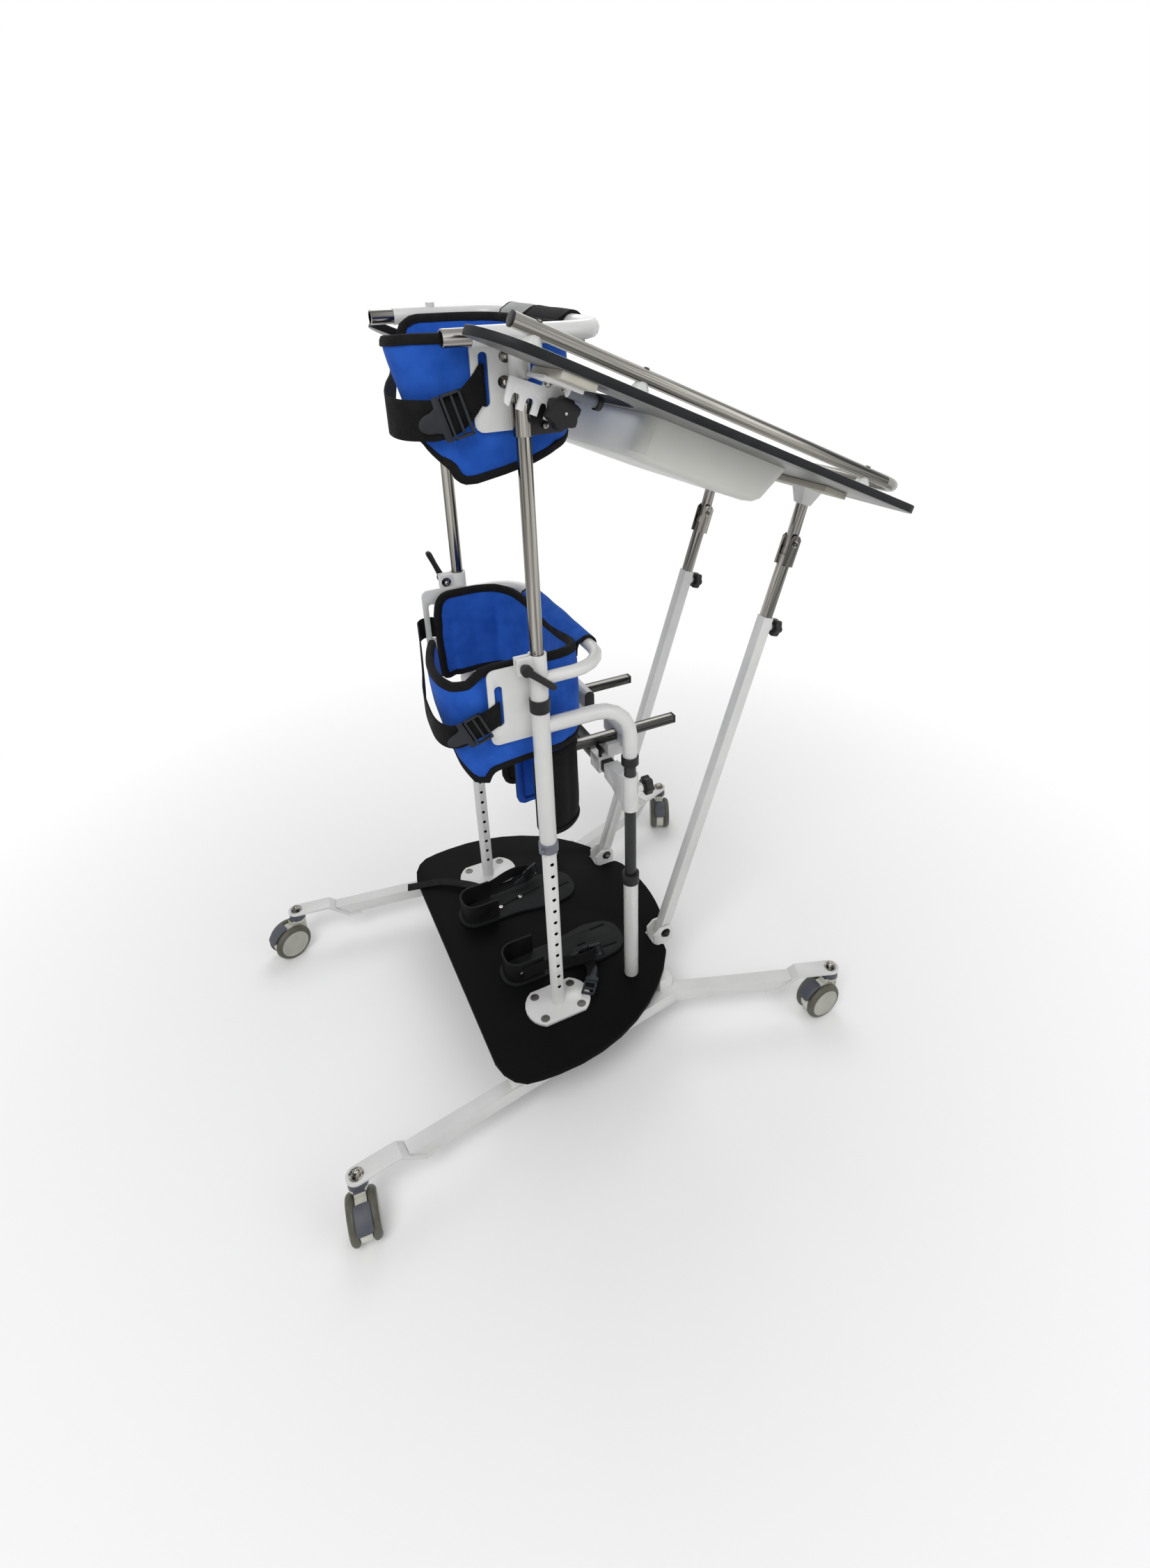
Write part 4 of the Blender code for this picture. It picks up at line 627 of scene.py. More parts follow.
# casters: turned wheels with pale covers, cream hoods, slate pedals and domed nuts
casters = {
    "rear_right": (0.3132, -0.388, -5), "front_right": (0.334, 0.5093, -88),
    "rear_left": (-0.3132, -0.388, -70), "front_left": (-0.334, 0.5093, -26),
}
casterLooks = {
    "radius": 0.0375, "trail": 0.025, "strip": 0.1002, "nut": 0.0080, "steps": 48, "cupLow": 0.0786,
    "stemLow": 0.0990, "stemLeft": 0.08, "edge": 0.0010,
    "axle": [(-0.0101, 0.0), (-0.0101, 0.0040), (0.0101, 0.0040), (0.0101, 0.0)],
    "tyre": [
        (0.0102, 0.0), (0.0102, 0.0330), (0.0108, 0.0355), (0.0123, 0.0370), (0.0140, 0.0375),
        (0.0163, 0.0373), (0.0186, 0.0365), (0.0207, 0.0351), (0.0223, 0.0331), (0.0232, 0.0306),
        (0.0228, 0.0290), (0.0220, 0.0288), (0.0220, 0.0),
    ],
    "cover": [
        (0.0218, 0.0), (0.0218, 0.0287), (0.0234, 0.0285), (0.0239, 0.0277), (0.0239, 0.0256),
        (0.0235, 0.0249), (0.0235, 0.0242), (0.0238, 0.0234), (0.0240, 0.0160), (0.0240, 0.0),
    ],
    "cup": [(0.062, 0.0), (0.062, 0.0088), (0.0722, 0.0096), (0.0746, 0.0150), (0.0768, 0.0159),
            (0.0790, 0.0159), (0.0796, 0.0150), (0.0796, 0.0)],
    "pedal": {
        "from": 20, "to": 82, "half": 0.0124, "low": 0.0382, "rear": 0.0398, "front": 0.0430, "pieces": 12,
        "crown": 0.0006, "crownHalf": 0.55, "taper": 0.0026, "taperFrom": 0.82, "edge": 0.0009, "sharp": 40,
    },
}


def casterPedal(node, centre, ahead, across):
    looks = casterLooks["pedal"]
    bm = bmesh.new()
    rings = []
    for k in range(looks["pieces"] + 1):
        part = k / looks["pieces"]
        turn = math.radians(looks["from"] + (looks["to"] - looks["from"]) * part)
        way = ahead * math.cos(turn) + upright * math.sin(turn)
        nearEnd = max(0.0, (abs(2 * part - 1) - looks["taperFrom"]) / (1 - looks["taperFrom"]))
        half = looks["half"] - looks["taper"] * nearEnd ** 2
        high = looks["front"] + (looks["rear"] - looks["front"]) * part
        section = [(1, looks["low"]), (1, high - looks["crown"]), (looks["crownHalf"], high)]
        section = [(-u, reach) for u, reach in section] + section[::-1]
        rings.append([bm.verts.new(centre + way * reach + across * half * u) for u, reach in section])
    for one, two in zip(rings, rings[1:]):
        for i in range(len(one)):
            j = (i + 1) % len(one)
            bm.faces.new((one[i], one[j], two[j], two[i]))
    bm.faces.new(rings[0])
    bm.faces.new(rings[-1])
    plate = softenEdges(fromBmesh(node + "_plate", bm), looks["edge"], looks["sharp"])
    return dressAs(node, plate, [slatePlastic])


for place, (x, y, heading) in casters.items():
    wheels, hood, pedal = ["caster_%s_%s" % (place, piece) for piece in ("wheels", "hood", "pedal")]
    ahead = Vector((math.cos(math.radians(heading)), math.sin(math.radians(heading)), 0))
    across = Vector((-ahead.y, ahead.x, 0))
    centre = at(x, y, casterLooks["radius"]) + ahead * casterLooks["trail"]
    runs = []
    for way in (across, -across):
        for finish, shape in enumerate(("tyre", "cover")):
            runs.append((casterLooks[shape], centre, way, finish, casterLooks["steps"]))
    runs.append((casterLooks["axle"], centre, across, 2))
    turnedPart(
        wheels + "_turned", bodyOf[wheels],
        [treadRubber, coverPlastic, stainless], runs, (wheels,),
    )
    shown = refine(
        hood, [hoodPlastic, slatePlastic, chrome], casterLooks["edge"],
        choose=lambda c, n: 2 if c.z > casterLooks["stemLow"] else int(c.z > casterLooks["cupLow"]),
    )
    strip = casterLooks["strip"]
    for vert in shown.data.vertices:
        if vert.co.z > strip:
            vert.co.z = strip + (vert.co.z - strip) * casterLooks["stemLeft"]
    body = bodyOf[hood]
    cupRun = (casterLooks["cup"], at(x, y, 0), upright)
    turnedPart(hood + "_cup", body, [hoodPlastic], [cupRun])
    nutsOn(hood + "_nut", body, [(at(x, y, strip), upright)], casterLooks["nut"])
    refine(pedal, [slatePlastic], casterLooks["edge"])
    casterPedal(pedal, centre, ahead, across)
print("casters ready")

# table: set out square in its own axes, then tilted and leaned about its hinge
tableLooks = {
    "hinge": (0.0, 0.0345, 1.163), "tilt": -23.77, "lean": -3.2, "rail": (0.265, 0.074, 0.0095),
    "railRear": -0.1117, "railBend": (0.2150, 0.5330), "spacers": (-0.080, 0.072, 0.490),
    "boardTop": 0.054, "railFoot": 0.0657, "battenSeam": 0.0308, "bracketSeam": 0.0309,
    "headTop": 0.0046, "stub": {"x": 0.2475, "half": 0.0079, "from": 0.0046, "plugFrom": 0.0262},
    "clampRing": 0.0080, "knobStud": 0.2361, "level": 0.9, "endCap": (0.0097, 0.0, 0.0022, 0.0012),
    "plug": (0.0098, 0.0, 0.0060, 0.0030), "plugAt": (0.0285, 0.0250), "boltLow": 0.0272,
    "clampBolt": (0.2004, 0.026, -0.016), "sink": 0.0002,
    "spacer": [(0.0, 0.0), (0.0, 0.012), (0.0018, 0.0122), (0.0055, 0.011), (0.0105, 0.0082), (0.013, 0.0)],
    "combBolts": ((0.226, -0.030), (0.236, -0.010)), "knuckle": (0.5247, -0.0612), "strut": 0.130,
    "railScrew": 0.0042, "combNut": 0.0042, "clampScrew": (0.0046, chrome, 0.6),
}
tableMatrix = (
    Matrix.Translation(tableLooks["hinge"])
    @ Matrix.Rotation(math.radians(tableLooks["tilt"]), 4, "X")
    @ Matrix.Rotation(math.radians(tableLooks["lean"]), 4, "Y")
)
tableInverse = tableMatrix.inverted()


def onTable(x, y, z):
    return columnLine + tableMatrix @ Vector((x, y, z))


def tableWay(x, y, z):
    return tableMatrix.to_3x3() @ Vector((x, y, z))


def boardPick(c, n):
    rise = n.dot(tableWay(0, 0, 1))
    return 2 if rise > tableLooks["level"] else int(rise < -tableLooks["level"])


def railPick(c, n):
    spot = tableInverse @ c
    if spot.z < tableLooks["railFoot"]:
        return 1
    if spot.y < tableLooks["railBend"][1]:
        return 0
    return 3 if abs(spot.x) > tableLooks["railBend"][0] else 2


def battenPick(c, n):
    high = (tableInverse @ c).z
    return 0 if high > tableLooks["battenSeam"] else 1 if high > tableLooks["headTop"] else 2


def bracketPick(c, n):
    spot = tableInverse @ c
    stub = tableLooks["stub"]
    if spot.z > tableLooks["bracketSeam"]:
        return 1
    if spot.y > stub["plugFrom"]:
        return 3
    return 2 if spot.y > stub["from"] and abs(abs(spot.x) - stub["x"]) < stub["half"] else 0


refine("table_top", [boardEdge, boardFace, laminate], 0.0012, choose=boardPick)
refine("table_basin", [milkyPlastic], 0.0014)
refine("table_rail", [stainless, spacerPlastic, railFront, railBend], choose=railPick)
refine("front_batten", [battenWood, whiteCoat, strutChrome], choose=battenPick)
railX, railHigh, railRadius = tableLooks["rail"]
railSlot = slotOf["table_rail"]
tableUp = tableWay(0, 0, 1)
sink = tableLooks["sink"]
railEnds, railScrews, spacerDomes = [], [], []
for side, s in sides:
    end = onTable(s * railX, tableLooks["railRear"], railHigh)
    railEnds.append((domeRun(*tableLooks["endCap"]), end, tableWay(0, -1, 0)))
    for along in tableLooks["spacers"]:
        spacerDomes.append(
            (tableLooks["spacer"], onTable(s * railX, along, tableLooks["boardTop"] + sink), tableUp)
        )
        railScrews.append((onTable(s * railX, along, railHigh + railRadius - sink), tableUp))
turnedPart("rail_end_caps", "table", [blackPlasticAndBoreShade], railEnds)
turnedPart("rail_spacers", "table", [spacerPlastic], spacerDomes)
screwsOn("rail_screws", "table", railSlot, railScrews, tableLooks["railScrew"])
combBolts = []
for side, s in sides:
    # the comb takes the brighter, painted-light copy of the white coat
    bracketFinishes = [combLitCoat, blockBoard, greyPlastic, blackPlasticAndBoreShade]
    refine("table_bracket_" + side, bracketFinishes, 0.0006, choose=bracketPick)
    refine(
        "table_clamp_" + side, [blackPlasticAndBoreShade, chrome], 0.0012,
        choose=lambda c, n: int(c.y < tableLooks["clampRing"]),
    )
    refine(
        "table_knob_" + side, [blackPlasticAndBoreShade, chrome], 0.0012,
        choose=lambda c, n: int(abs((tableInverse @ c).x) > tableLooks["knobStud"]),
    )
    for reach, along in tableLooks["combBolts"]:
        combBolts.append((onTable(s * reach, along, tableLooks["boltLow"]), tableWay(0, 0, -1)))
    plug = onTable(s * tableLooks["stub"]["x"], *tableLooks["plugAt"])
    plugRuns = [(domeRun(*tableLooks["plug"]), plug, tableWay(0, 1, 0))]
    turnedPart("stub_plug_" + side, "table", [blackPlasticAndBoreShade], plugRuns)
    clampMid = tableMatrix @ Vector((s * frameLooks["column"], 0, 0))
    boltX, boltY, boltRise = tableLooks["clampBolt"]
    spots = [(at(s * boltX, boltY, clampMid.z + boltRise), Vector((s, 0, 0)))]
    clampBody = bodyOf["table_clamp_" + side]
    screwsOn("clamp_bolt_" + side, clampBody, "chrome", spots, *tableLooks["clampScrew"])
nutsOn("comb_bolts", "table", combBolts, tableLooks["combNut"])
print("table ready")

# collars, plugs, nuts and screws on the columns, rings, struts and knee support
columnLooks = {
    "post": 0.150, "flange": 0.1350,
    "screws": ((0.0255, 0.0350), (0.0255, -0.0350), (-0.0255, 0.0350), (-0.0255, -0.0350)),
    "chestNuts": ((-0.0128, 1.2403), (-0.0161, 1.2099)), "chestFace": 0.1756,
    "lever": (0.1818, -0.024, 0.821), "pivot": (0.250, 0.142), "pivotFace": 0.0145, "knuckleFace": 0.0124,
    "plug": (0.085, 0.2949, 0.590),
    "collar": [
        (0.4790, 0.0124), (0.4790, 0.0152), (0.4800, 0.0160), (0.4960, 0.0160), (0.4972, 0.0150),
        (0.4972, 0.0142), (0.4880, 0.0142), (0.4876, 0.0124), (0.4790, 0.0124),
    ],
    "boss": (0.0046, 0.0140, 0.0205, 0.0012), "bossWay": (0.55, -0.83), "bossHigh": 0.4876,
    "columnRing": (0.0141, 0.0157, 0.7400, 0.7622), "postRing": (0.0126, 0.0146, 0.5980, 0.6140),
    "stem": (0.0030, 0.0, 0.0140, 0.0006), "stemAt": (0.096, 0.141, 0.5600),
    "grip": (0.0042, 0.0, 0.0200, 0.0014), "gripFrom": (-0.010, 0.0165),
    "flangeScrew": (0.0084, screwSteel, 0.16), "chestNut": 0.0056, "leverNut": 0.0058, "pivotNut": 0.0070,
    "knuckleNut": 0.0046, "barPlug": (0.0034, blackPlasticAndBoreShade, 0.2),
}


def facingPair(middle, reach):
    ways = [Vector((way, 0, 0)) for way in (1, -1)]
    return [(middle + way * reach, way) for way in ways]


for side, s in sides:
    out = Vector((s, 0, 0))
    axle = at(s * frameLooks["column"], 0, 0)
    post = at(s * frameLooks["column"], columnLooks["post"], 0)
    frameBody = bodyOf["outer_column_" + side]
    bossX, bossY = columnLooks["bossWay"]
    bossFrom = axle + upright * columnLooks["bossHigh"]
    boss = (domeRun(*columnLooks["boss"]), bossFrom, Vector((bossX * s, bossY, 0)).normalized())
    collars = {
        "grey_collar_": (greyPlastic, [(columnLooks["collar"], axle, upright), boss]),
        "black_collars_": (
            blackPlasticAndBoreShade,
            [
                (ringRun(*columnLooks["columnRing"]), axle, upright),
                (ringRun(*columnLooks["postRing"]), post, upright),
            ],
        ),
    }
    for name, (finish, runs) in collars.items():
        turnedPart(name + side, frameBody, [finish], runs)
    screws = [(axle + Vector((*place, columnLooks["flange"])), upright) for place in columnLooks["screws"]]
    screwsOn("flange_screws_" + side, "base", "stainless", screws, *columnLooks["flangeScrew"])
    nuts = [(at(s * columnLooks["chestFace"], *place), out) for place in columnLooks["chestNuts"]]
    nutsOn("chest_plate_nuts_" + side, "chest_unit", nuts, columnLooks["chestNut"])
    leverX, *leverPlace = columnLooks["lever"]
    levers = [(at(s * leverX, *leverPlace), -out)]
    nutsOn("lever_nut_" + side, frameBody, levers, columnLooks["leverNut"])
    pivots = facingPair(at(s * tableLooks["strut"], *columnLooks["pivot"]), columnLooks["pivotFace"])
    pivotFinish = blackPlasticAndBoreShade if s > 0 else screwSteel
    nutsOn("strut_pivot_nuts_" + side, "base", pivots, columnLooks["pivotNut"], pivotFinish)
    lean = math.radians(tableLooks["lean"])
    along, above = tableLooks["knuckle"]
    knuckleX = (s * tableLooks["strut"] - above * math.sin(lean)) / math.cos(lean)
    knuckles = facingPair(onTable(knuckleX, along, above), columnLooks["knuckleFace"])
    sliderBody = bodyOf["strut_slider_" + side]
    nutsOn("knuckle_nuts_" + side, sliderBody, knuckles, columnLooks["knuckleNut"])
    stemX, *stemPlace = columnLooks["stemAt"]
    stem = at(s * stemX, *stemPlace)
    gripX, gripRise = columnLooks["gripFrom"]
    grip = stem + Vector((gripX * s, 0, gripRise))
    turnedPart(
        "carrier_lock_" + side, bodyOf["knee_carrier_" + side], [blackPlasticAndBoreShade],
        [(domeRun(*columnLooks["stem"]), stem, upright), (domeRun(*columnLooks["grip"]), grip, out)],
    )
    plugX, *plugPlace = columnLooks["plug"]
    plug = [(at(s * plugX, *plugPlace), Vector((0, 1, 0)))]
    barBody = bodyOf["knee_bar_" + side]
    screwsOn("bar_plug_" + side, barBody, "black_plastic", plug, *columnLooks["barPlug"])
print("fittings ready")

# sandals: slotted soles with rivets, and instep straps lying open on the outer sides
sandalLooks = {
    "deck": 0.1363, "cupLow": 0.1366, "slitDepth": (-0.0034, 0.004), "slitSteps": 6, "screw": 0.0046,
    "right": {
        "place": (0.092, 0.052),
        "slits": (
            ((0.0636, 0.1250), (0.0628, 0.1532), 0.0042), ((0.1152, 0.1280), (0.1171, 0.1542), 0.0042),
            ((0.0896, 0.0860), (0.0895, 0.1000), 0.0042),
        ),
        "screws": (),
    },
    "left": {
        "place": (-0.086, 0.028),
        "slits": (
            ((-0.0763, -0.0304), (-0.0967, 0.0788), 0.0050), ((-0.0792, 0.1189), (-0.0821, 0.1403), 0.0040),
        ),
        "screws": ((-0.0882, 0.0343), (-0.0781, -0.0113)),
    },
    "rivets": (
        (0.0054, ((0.0319, -0.092, 0.158),)),
        (0.0034, ((0.0319, -0.058, 0.163), (0.0319, -0.058, 0.152))),
    ),
}


def sandalSlits(name, slits):
    bm = bmesh.new()
    for start, stop, wide in slits:
        first = at(*start, sandalLooks["deck"])
        along = at(*stop, sandalLooks["deck"]) - first
        long = along.length
        along.normalize()
        across = Vector((-along.y, along.x, 0))
        outline = []
        steps = sandalLooks["slitSteps"]
        for middle, turn in ((long, -90), (0.0, 90)):
            for k in range(steps + 1):
                angle = math.radians(turn + 180 / steps * k)
                outline.append((middle + wide / 2 * math.cos(angle), wide / 2 * math.sin(angle)))
        slab(bm, outline, first, along, across, upright, *sandalLooks["slitDepth"])
    return fromBmesh(name, bm)


for side, s in sides:
    node = "sandal_" + side
    looks = sandalLooks[side]
    body = bodyOf[node]
    refine(
        node, [soleRubber, cupPlastic], choose=lambda c, n: int(c.z > sandalLooks["cupLow"]),
        carve=sandalSlits("slits_" + side, looks["slits"]),
    )
    px, py = looks["place"]
    out = Vector((s, 0, 0))
    for number, (size, spots) in enumerate(sandalLooks["rivets"]):
        rivets = [(at(px + s * x, py + y, z), out) for x, y, z in spots]
        screwsOn("sandal_rivets_%s_%d" % (side, number), body, slotOf[node], rivets, size)
    if looks["screws"]:
        spots = [(at(x, y, sandalLooks["deck"]), upright) for x, y in looks["screws"]]
        screwsOn("sandal_screws_" + side, body, slotOf[node], spots, sandalLooks["screw"])
print("sandals ready")


# soft goods: ribbed tape and webbing follow the cloth's own map, in metres, and looped fabric follows object
# space
def clothMap(tree):
    where = treeNode(tree, "ShaderNodeUVMap", (), {"uv_map": "cloth"})
    split = treeNode(tree, "ShaderNodeSeparateXYZ", {0: where.outputs["UV"]})
    return split.outputs["X"], split.outputs["Y"]


def ripple(tree, distance, pitch):
    return mathNode(tree, "SINE", mathNode(tree, "MULTIPLY", distance, 2 * math.pi / pitch))


def loopedFabric(name, colour, worn, sheen):
    finish = clouded(
        name, colour, worn, 34.0, (0.84, 0.96), 1300.0, 0.0005, strength=0.6, Sheen_Weight=0.16,
        Sheen_Roughness=0.4, Sheen_Tint=(*sheen, 1.0), Specular_IOR_Level=0.15,
    )
    addBump(finish, objectNoise(finish.node_tree, 95.0, 4.0), 0.0009, 0.35)
    return finish


def ribbedTape(name, colour, light, lengthPitch, widthPitch):
    finish = plainFinish(name, colour, 0.8, Specular_IOR_Level=0.15)
    tree = finish.node_tree
    shader = tree.nodes["Principled BSDF"]
    along, across = clothMap(tree)
    cords = ripple(tree, across, widthPitch)
    weave = mathNode(tree, "MULTIPLY_ADD", ripple(tree, along, lengthPitch), 0.6, cords)
    tone = mixColour(tree, ranged(tree, weave, -1.6, 1.6), colour, light)
    tree.links.new(tone, shader.inputs["Base Color"])
    rough = ranged(tree, objectNoise(tree, 60.0), *finishLooks["wear"], 0.70, 0.90)
    tree.links.new(rough, shader.inputs["Roughness"])
    addBump(finish, weave, 0.00022, 0.7)
    return finish


blueFabric = loopedFabric("blue_looped_fabric", (0.020, 0.105, 0.50), (0.014, 0.080, 0.41), (0.35, 0.5, 0.9))
blackFabric = loopedFabric(
    "black_looped_fabric", (0.006, 0.006, 0.007), (0.011, 0.011, 0.012), (0.2, 0.2, 0.2)
)
greyFabric = loopedFabric("grey_lining", (0.42, 0.43, 0.42), (0.34, 0.35, 0.34), (0.5, 0.5, 0.5))
blackTape = ribbedTape("black_binding", (0.004, 0.004, 0.0045), (0.010, 0.010, 0.011), 0.0016, 0.0011)
blueTape = ribbedTape("blue_binding", (0.012, 0.075, 0.40), (0.020, 0.100, 0.48), 0.0016, 0.0011)
blackWebbing = ribbedTape("black_webbing", (0.003, 0.003, 0.0034), (0.009, 0.009, 0.0096), 0.0030, 0.0024)
threadBlack = plainFinish("black_thread", (0.012, 0.012, 0.013), 0.7, Specular_IOR_Level=0.2)


def smoothPath(points, step):
    spots = []
    marks = []
    last = len(points) - 1
    for i in range(last):
        a, b, c, d = points[max(i - 1, 0)], points[i], points[i + 1], points[min(i + 2, last)]
        pieces = max(1, round((c - b).length / step))
        for k in range(pieces):
            t = k / pieces
            spots.append(
                0.5 * (2 * b + (c - a) * t + (2 * a - 5 * b + 4 * c - d) * t * t
                       + (3 * b - a - 3 * c + d) * t ** 3)
            )
            marks.append(i + t)
    return spots + [points[-1]], marks + [float(last)]


def between(table, mark):
    for (first, a), (second, b) in zip(table, table[1:]):
        if mark <= second:
            return a + (b - a) * (mark - first) / (second - first)
    return table[-1][1]


def travelled(spots):
    arcs = [0.0]
    for first, second in zip(spots, spots[1:]):
        arcs.append(arcs[-1] + (second - first).length)
    return arcs


def nearest(marks, mark):
    return min(range(len(marks)), key=lambda k: abs(marks[k] - mark))


def courseAt(spots, k):
    return (spots[min(k + 1, len(spots) - 1)] - spots[max(k - 1, 0)]).normalized()


padLooks = {
    "step": 0.0062, "rows": 15, "corner": 0.018, "rim": 0.32, "seam": 0.50, "seamReach": 0.0075,
    "endReach": 0.022, "sewn": 0.001, "swell": 0.0045, "frames": 20, "wrinkle": 0.0007,
    "ripples": ((22.0, 1.0), (55.0, 0.6)), "endPower": 0.6, "rowPower": 5,
    "cloth": {
        "quality": 6, "mass": 0.25, "tension_stiffness": 12, "compression_stiffness": 12,
        "shear_stiffness": 5, "bending_stiffness": 0.4, "use_pressure": True, "uniform_pressure_force": 4.0,
        "vertex_group_mass": "sewn",
    },
}
tapeLooks = {
    "reach": 0.0105, "half": 0.0056, "wide": 0.0028, "lap": 0.005, "seam": (1.12, 0.82),
    "fold": ((1.0, -1.0), (1.10, -0.8), (1.02, -0.3), (0.66, 0.10), (0.0, 0.20)),
    "thread": {"Pitch": 0.0042, "Length": 0.0028, "Thread": 0.00045},
}


def padGrid(path, lows, highs, thick, seams, leans):
    spots, marks = smoothPath(path, padLooks["step"])
    arcs = travelled(spots)
    seamArcs = [arcs[nearest(marks, seam)] for seam in seams]
    corner, rim = padLooks["corner"], padLooks["rim"]
    grid = []
    for k, (spot, mark) in enumerate(zip(spots, marks)):
        along = courseAt(spots, k)
        out = Vector((along.y, -along.x, 0))
        fromEnd = min(arcs[k], arcs[-1] - arcs[k])
        bite = corner - math.sqrt(max(0.0, corner ** 2 - max(0.0, corner - fromEnd) ** 2))
        low = between(lows, mark) + bite
        high = between(highs, mark) - bite
        seamGap = min(abs(arcs[k] - s) for s in seamArcs)
        plump = 1 - padLooks["seam"] * math.exp(-(seamGap / padLooks["seamReach"]) ** 2)
        plump *= rim + (1 - rim) * min(1.0, fromEnd / padLooks["endReach"]) ** padLooks["endPower"]
        column = []
        for row in range(padLooks["rows"] + 1):
            v = row / padLooks["rows"]
            half = thick / 2 * plump * (rim + (1 - rim) * (1 - abs(2 * v - 1) ** padLooks["rowPower"]))
            middle = spot - out * between(leans, mark) * (1 - v)
            middle = Vector((middle.x, middle.y, low + v * (high - low)))
            column.append((middle, out, half, along))
        pinned = seamGap < padLooks["sewn"] or k in (0, len(spots) - 1)
        grid.append((arcs[k], pinned, column))
    return grid


def fillPad(obj, pinned, limit):
    group = obj.vertex_groups.new(name="sewn")
    group.add(pinned, 1.0, "REPLACE")
    start = [v.co.copy() for v in obj.data.vertices]
    cloth = obj.modifiers.new("fill", "CLOTH")
    for label, value in padLooks["cloth"].items():
        setattr(cloth.settings, label, value)
    cloth.settings.effector_weights.gravity = 0
    cloth.collision_settings.use_collision = False
    for number in range(1, padLooks["frames"] + 1):
        bpy.context.scene.frame_set(number)
    settle(obj)
    bpy.context.scene.frame_set(1)
    for vertex, was in zip(obj.data.vertices, start):
        move = vertex.co - was
        if move.length > padLooks["swell"]:
            move *= padLooks["swell"] / move.length
        place = was + move
        ripples = sum(share * noise.noise(was * pitch) for pitch, share in padLooks["ripples"])
        if vertex.index not in pinned:
            place += vertex.normal * padLooks["wrinkle"] * ripples
        if limit:
            reach = min(abs(place.x - columnLine.x), limit)
            place.x = columnLine.x + math.copysign(reach, place.x - columnLine.x)
        vertex.co = place
    smooth = obj.modifiers.new("smooth", "SUBSURF")
    smooth.levels = smooth.render_levels = 1
    settle(obj)
    shade(obj.data, 180)


def paddedBand(node, path, lows, highs, thick, seams, leans, outside, inside, tapes, limit=None):
    grid = padGrid([at(*p, 0) for p in path], lows, highs, thick, seams, leans)
    rows = padLooks["rows"]
    bm, uv = clothMesh()
    rings = []
    for arc, pinned, column in grid:
        ring = [(m + out * half, arc, m.z) for m, out, half, along in column]
        ring += [(m - out * half, arc, m.z) for m, out, half, along in reversed(column)]
        rings.append([(bm.verts.new(p), arc, z) for p, arc, z in ring])
    skin(bm, uv, rings, lambda k, i, corners: int(i > rows))
    for ring in (rings[0], rings[-1]):
        for i in range(rows):
            clothFace(bm, uv, (ring[i], ring[i + 1], ring[-2 - i], ring[-1 - i]))
    count = 2 * (rows + 1)
    sewn = []
    for k, (arc, pinned, column) in enumerate(grid):
        edge = range(count) if pinned else (0, rows, rows + 1, count - 1)
        sewn += [k * count + i for i in edge]
    pad = fromBmesh(node + "_filled", bm, 180)
    fillPad(pad, sewn, limit)
    dressAs(node, pad, [outside, inside], (node,))

    # the tape folds over the whole edge
    last = len(grid) - 1
    edge = [(k, 0) for k in range(last)] + [(last, r) for r in range(rows)]
    edge += [(k, rows) for k in range(last, 0, -1)] + [(0, r) for r in range(rows, 0, -1)]
    flat = [Vector((grid[k][0], grid[k][2][r][0].z)) for k, r in edge]
    reach, wide = tapeLooks["reach"], tapeLooks["wide"]
    profile = [(tapeLooks["half"] * a, b) for a, b in tapeLooks["fold"]]
    profile += [(-a, b) for a, b in profile[-2::-1]]
    seamOut, seamIn = tapeLooks["half"] * tapeLooks["seam"][0], reach * tapeLooks["seam"][1]
    bm, uv = clothMesh()
    loops = []
    seamLines = {"outer": [], "inner": []}
    far = 0.0
    for i, (k, r) in enumerate(edge):
        middle, out, half, along = grid[k][2][r]
        way = flat[(i + 1) % len(flat)] - flat[i - 1]
        way.normalize()
        outward = along * way.y + Vector((0, 0, -way.x))
        far += (flat[i] - flat[i - 1]).length if i else 0.0
        loops.append((far, [bm.verts.new(middle + out * a + outward * b * reach) for a, b in profile]))
        for sign, line in zip((1, -1), seamLines.values()):
            line.append(middle + out * sign * seamOut - outward * seamIn)
    for i, (start, ring) in enumerate(loops):
        stop, following = loops[(i + 1) % len(loops)]
        stop = stop if i < len(loops) - 1 else start + tapeLooks["lap"]
        for j in range(len(profile)):
            n = (j + 1) % len(profile)
            low, high = wide * j, wide * (j + 1)
            corners = (
                (ring[j], start, low), (following[j], stop, low), (following[n], stop, high),
                (ring[n], start, high),
            )
            clothFace(bm, uv, corners, int(profile[j][0] + profile[n][0] < -meshLooks["point"]))
    dressAs(node, fromBmesh(node + "_binding", bm, 70), tapes)
    for name, line in seamLines.items():
        links = [(i, (i + 1) % len(line)) for i in range(len(line))]
        values = {**tapeLooks["thread"], "Material": threadBlack}
        thread = grow(node + "_" + name + "_stitches", line, links, stitches, values)
        dressAs(node, thread, [threadBlack])


bodyPads = {
    "side": 0.1622, "thick": 0.0150, "limit": 0.1709,
    "half": [(0.0, -0.018), (0.0, 0.022), (0.008, 0.056), (0.032, 0.081), (0.074, -0.002), (0.116, 0.0)],
}
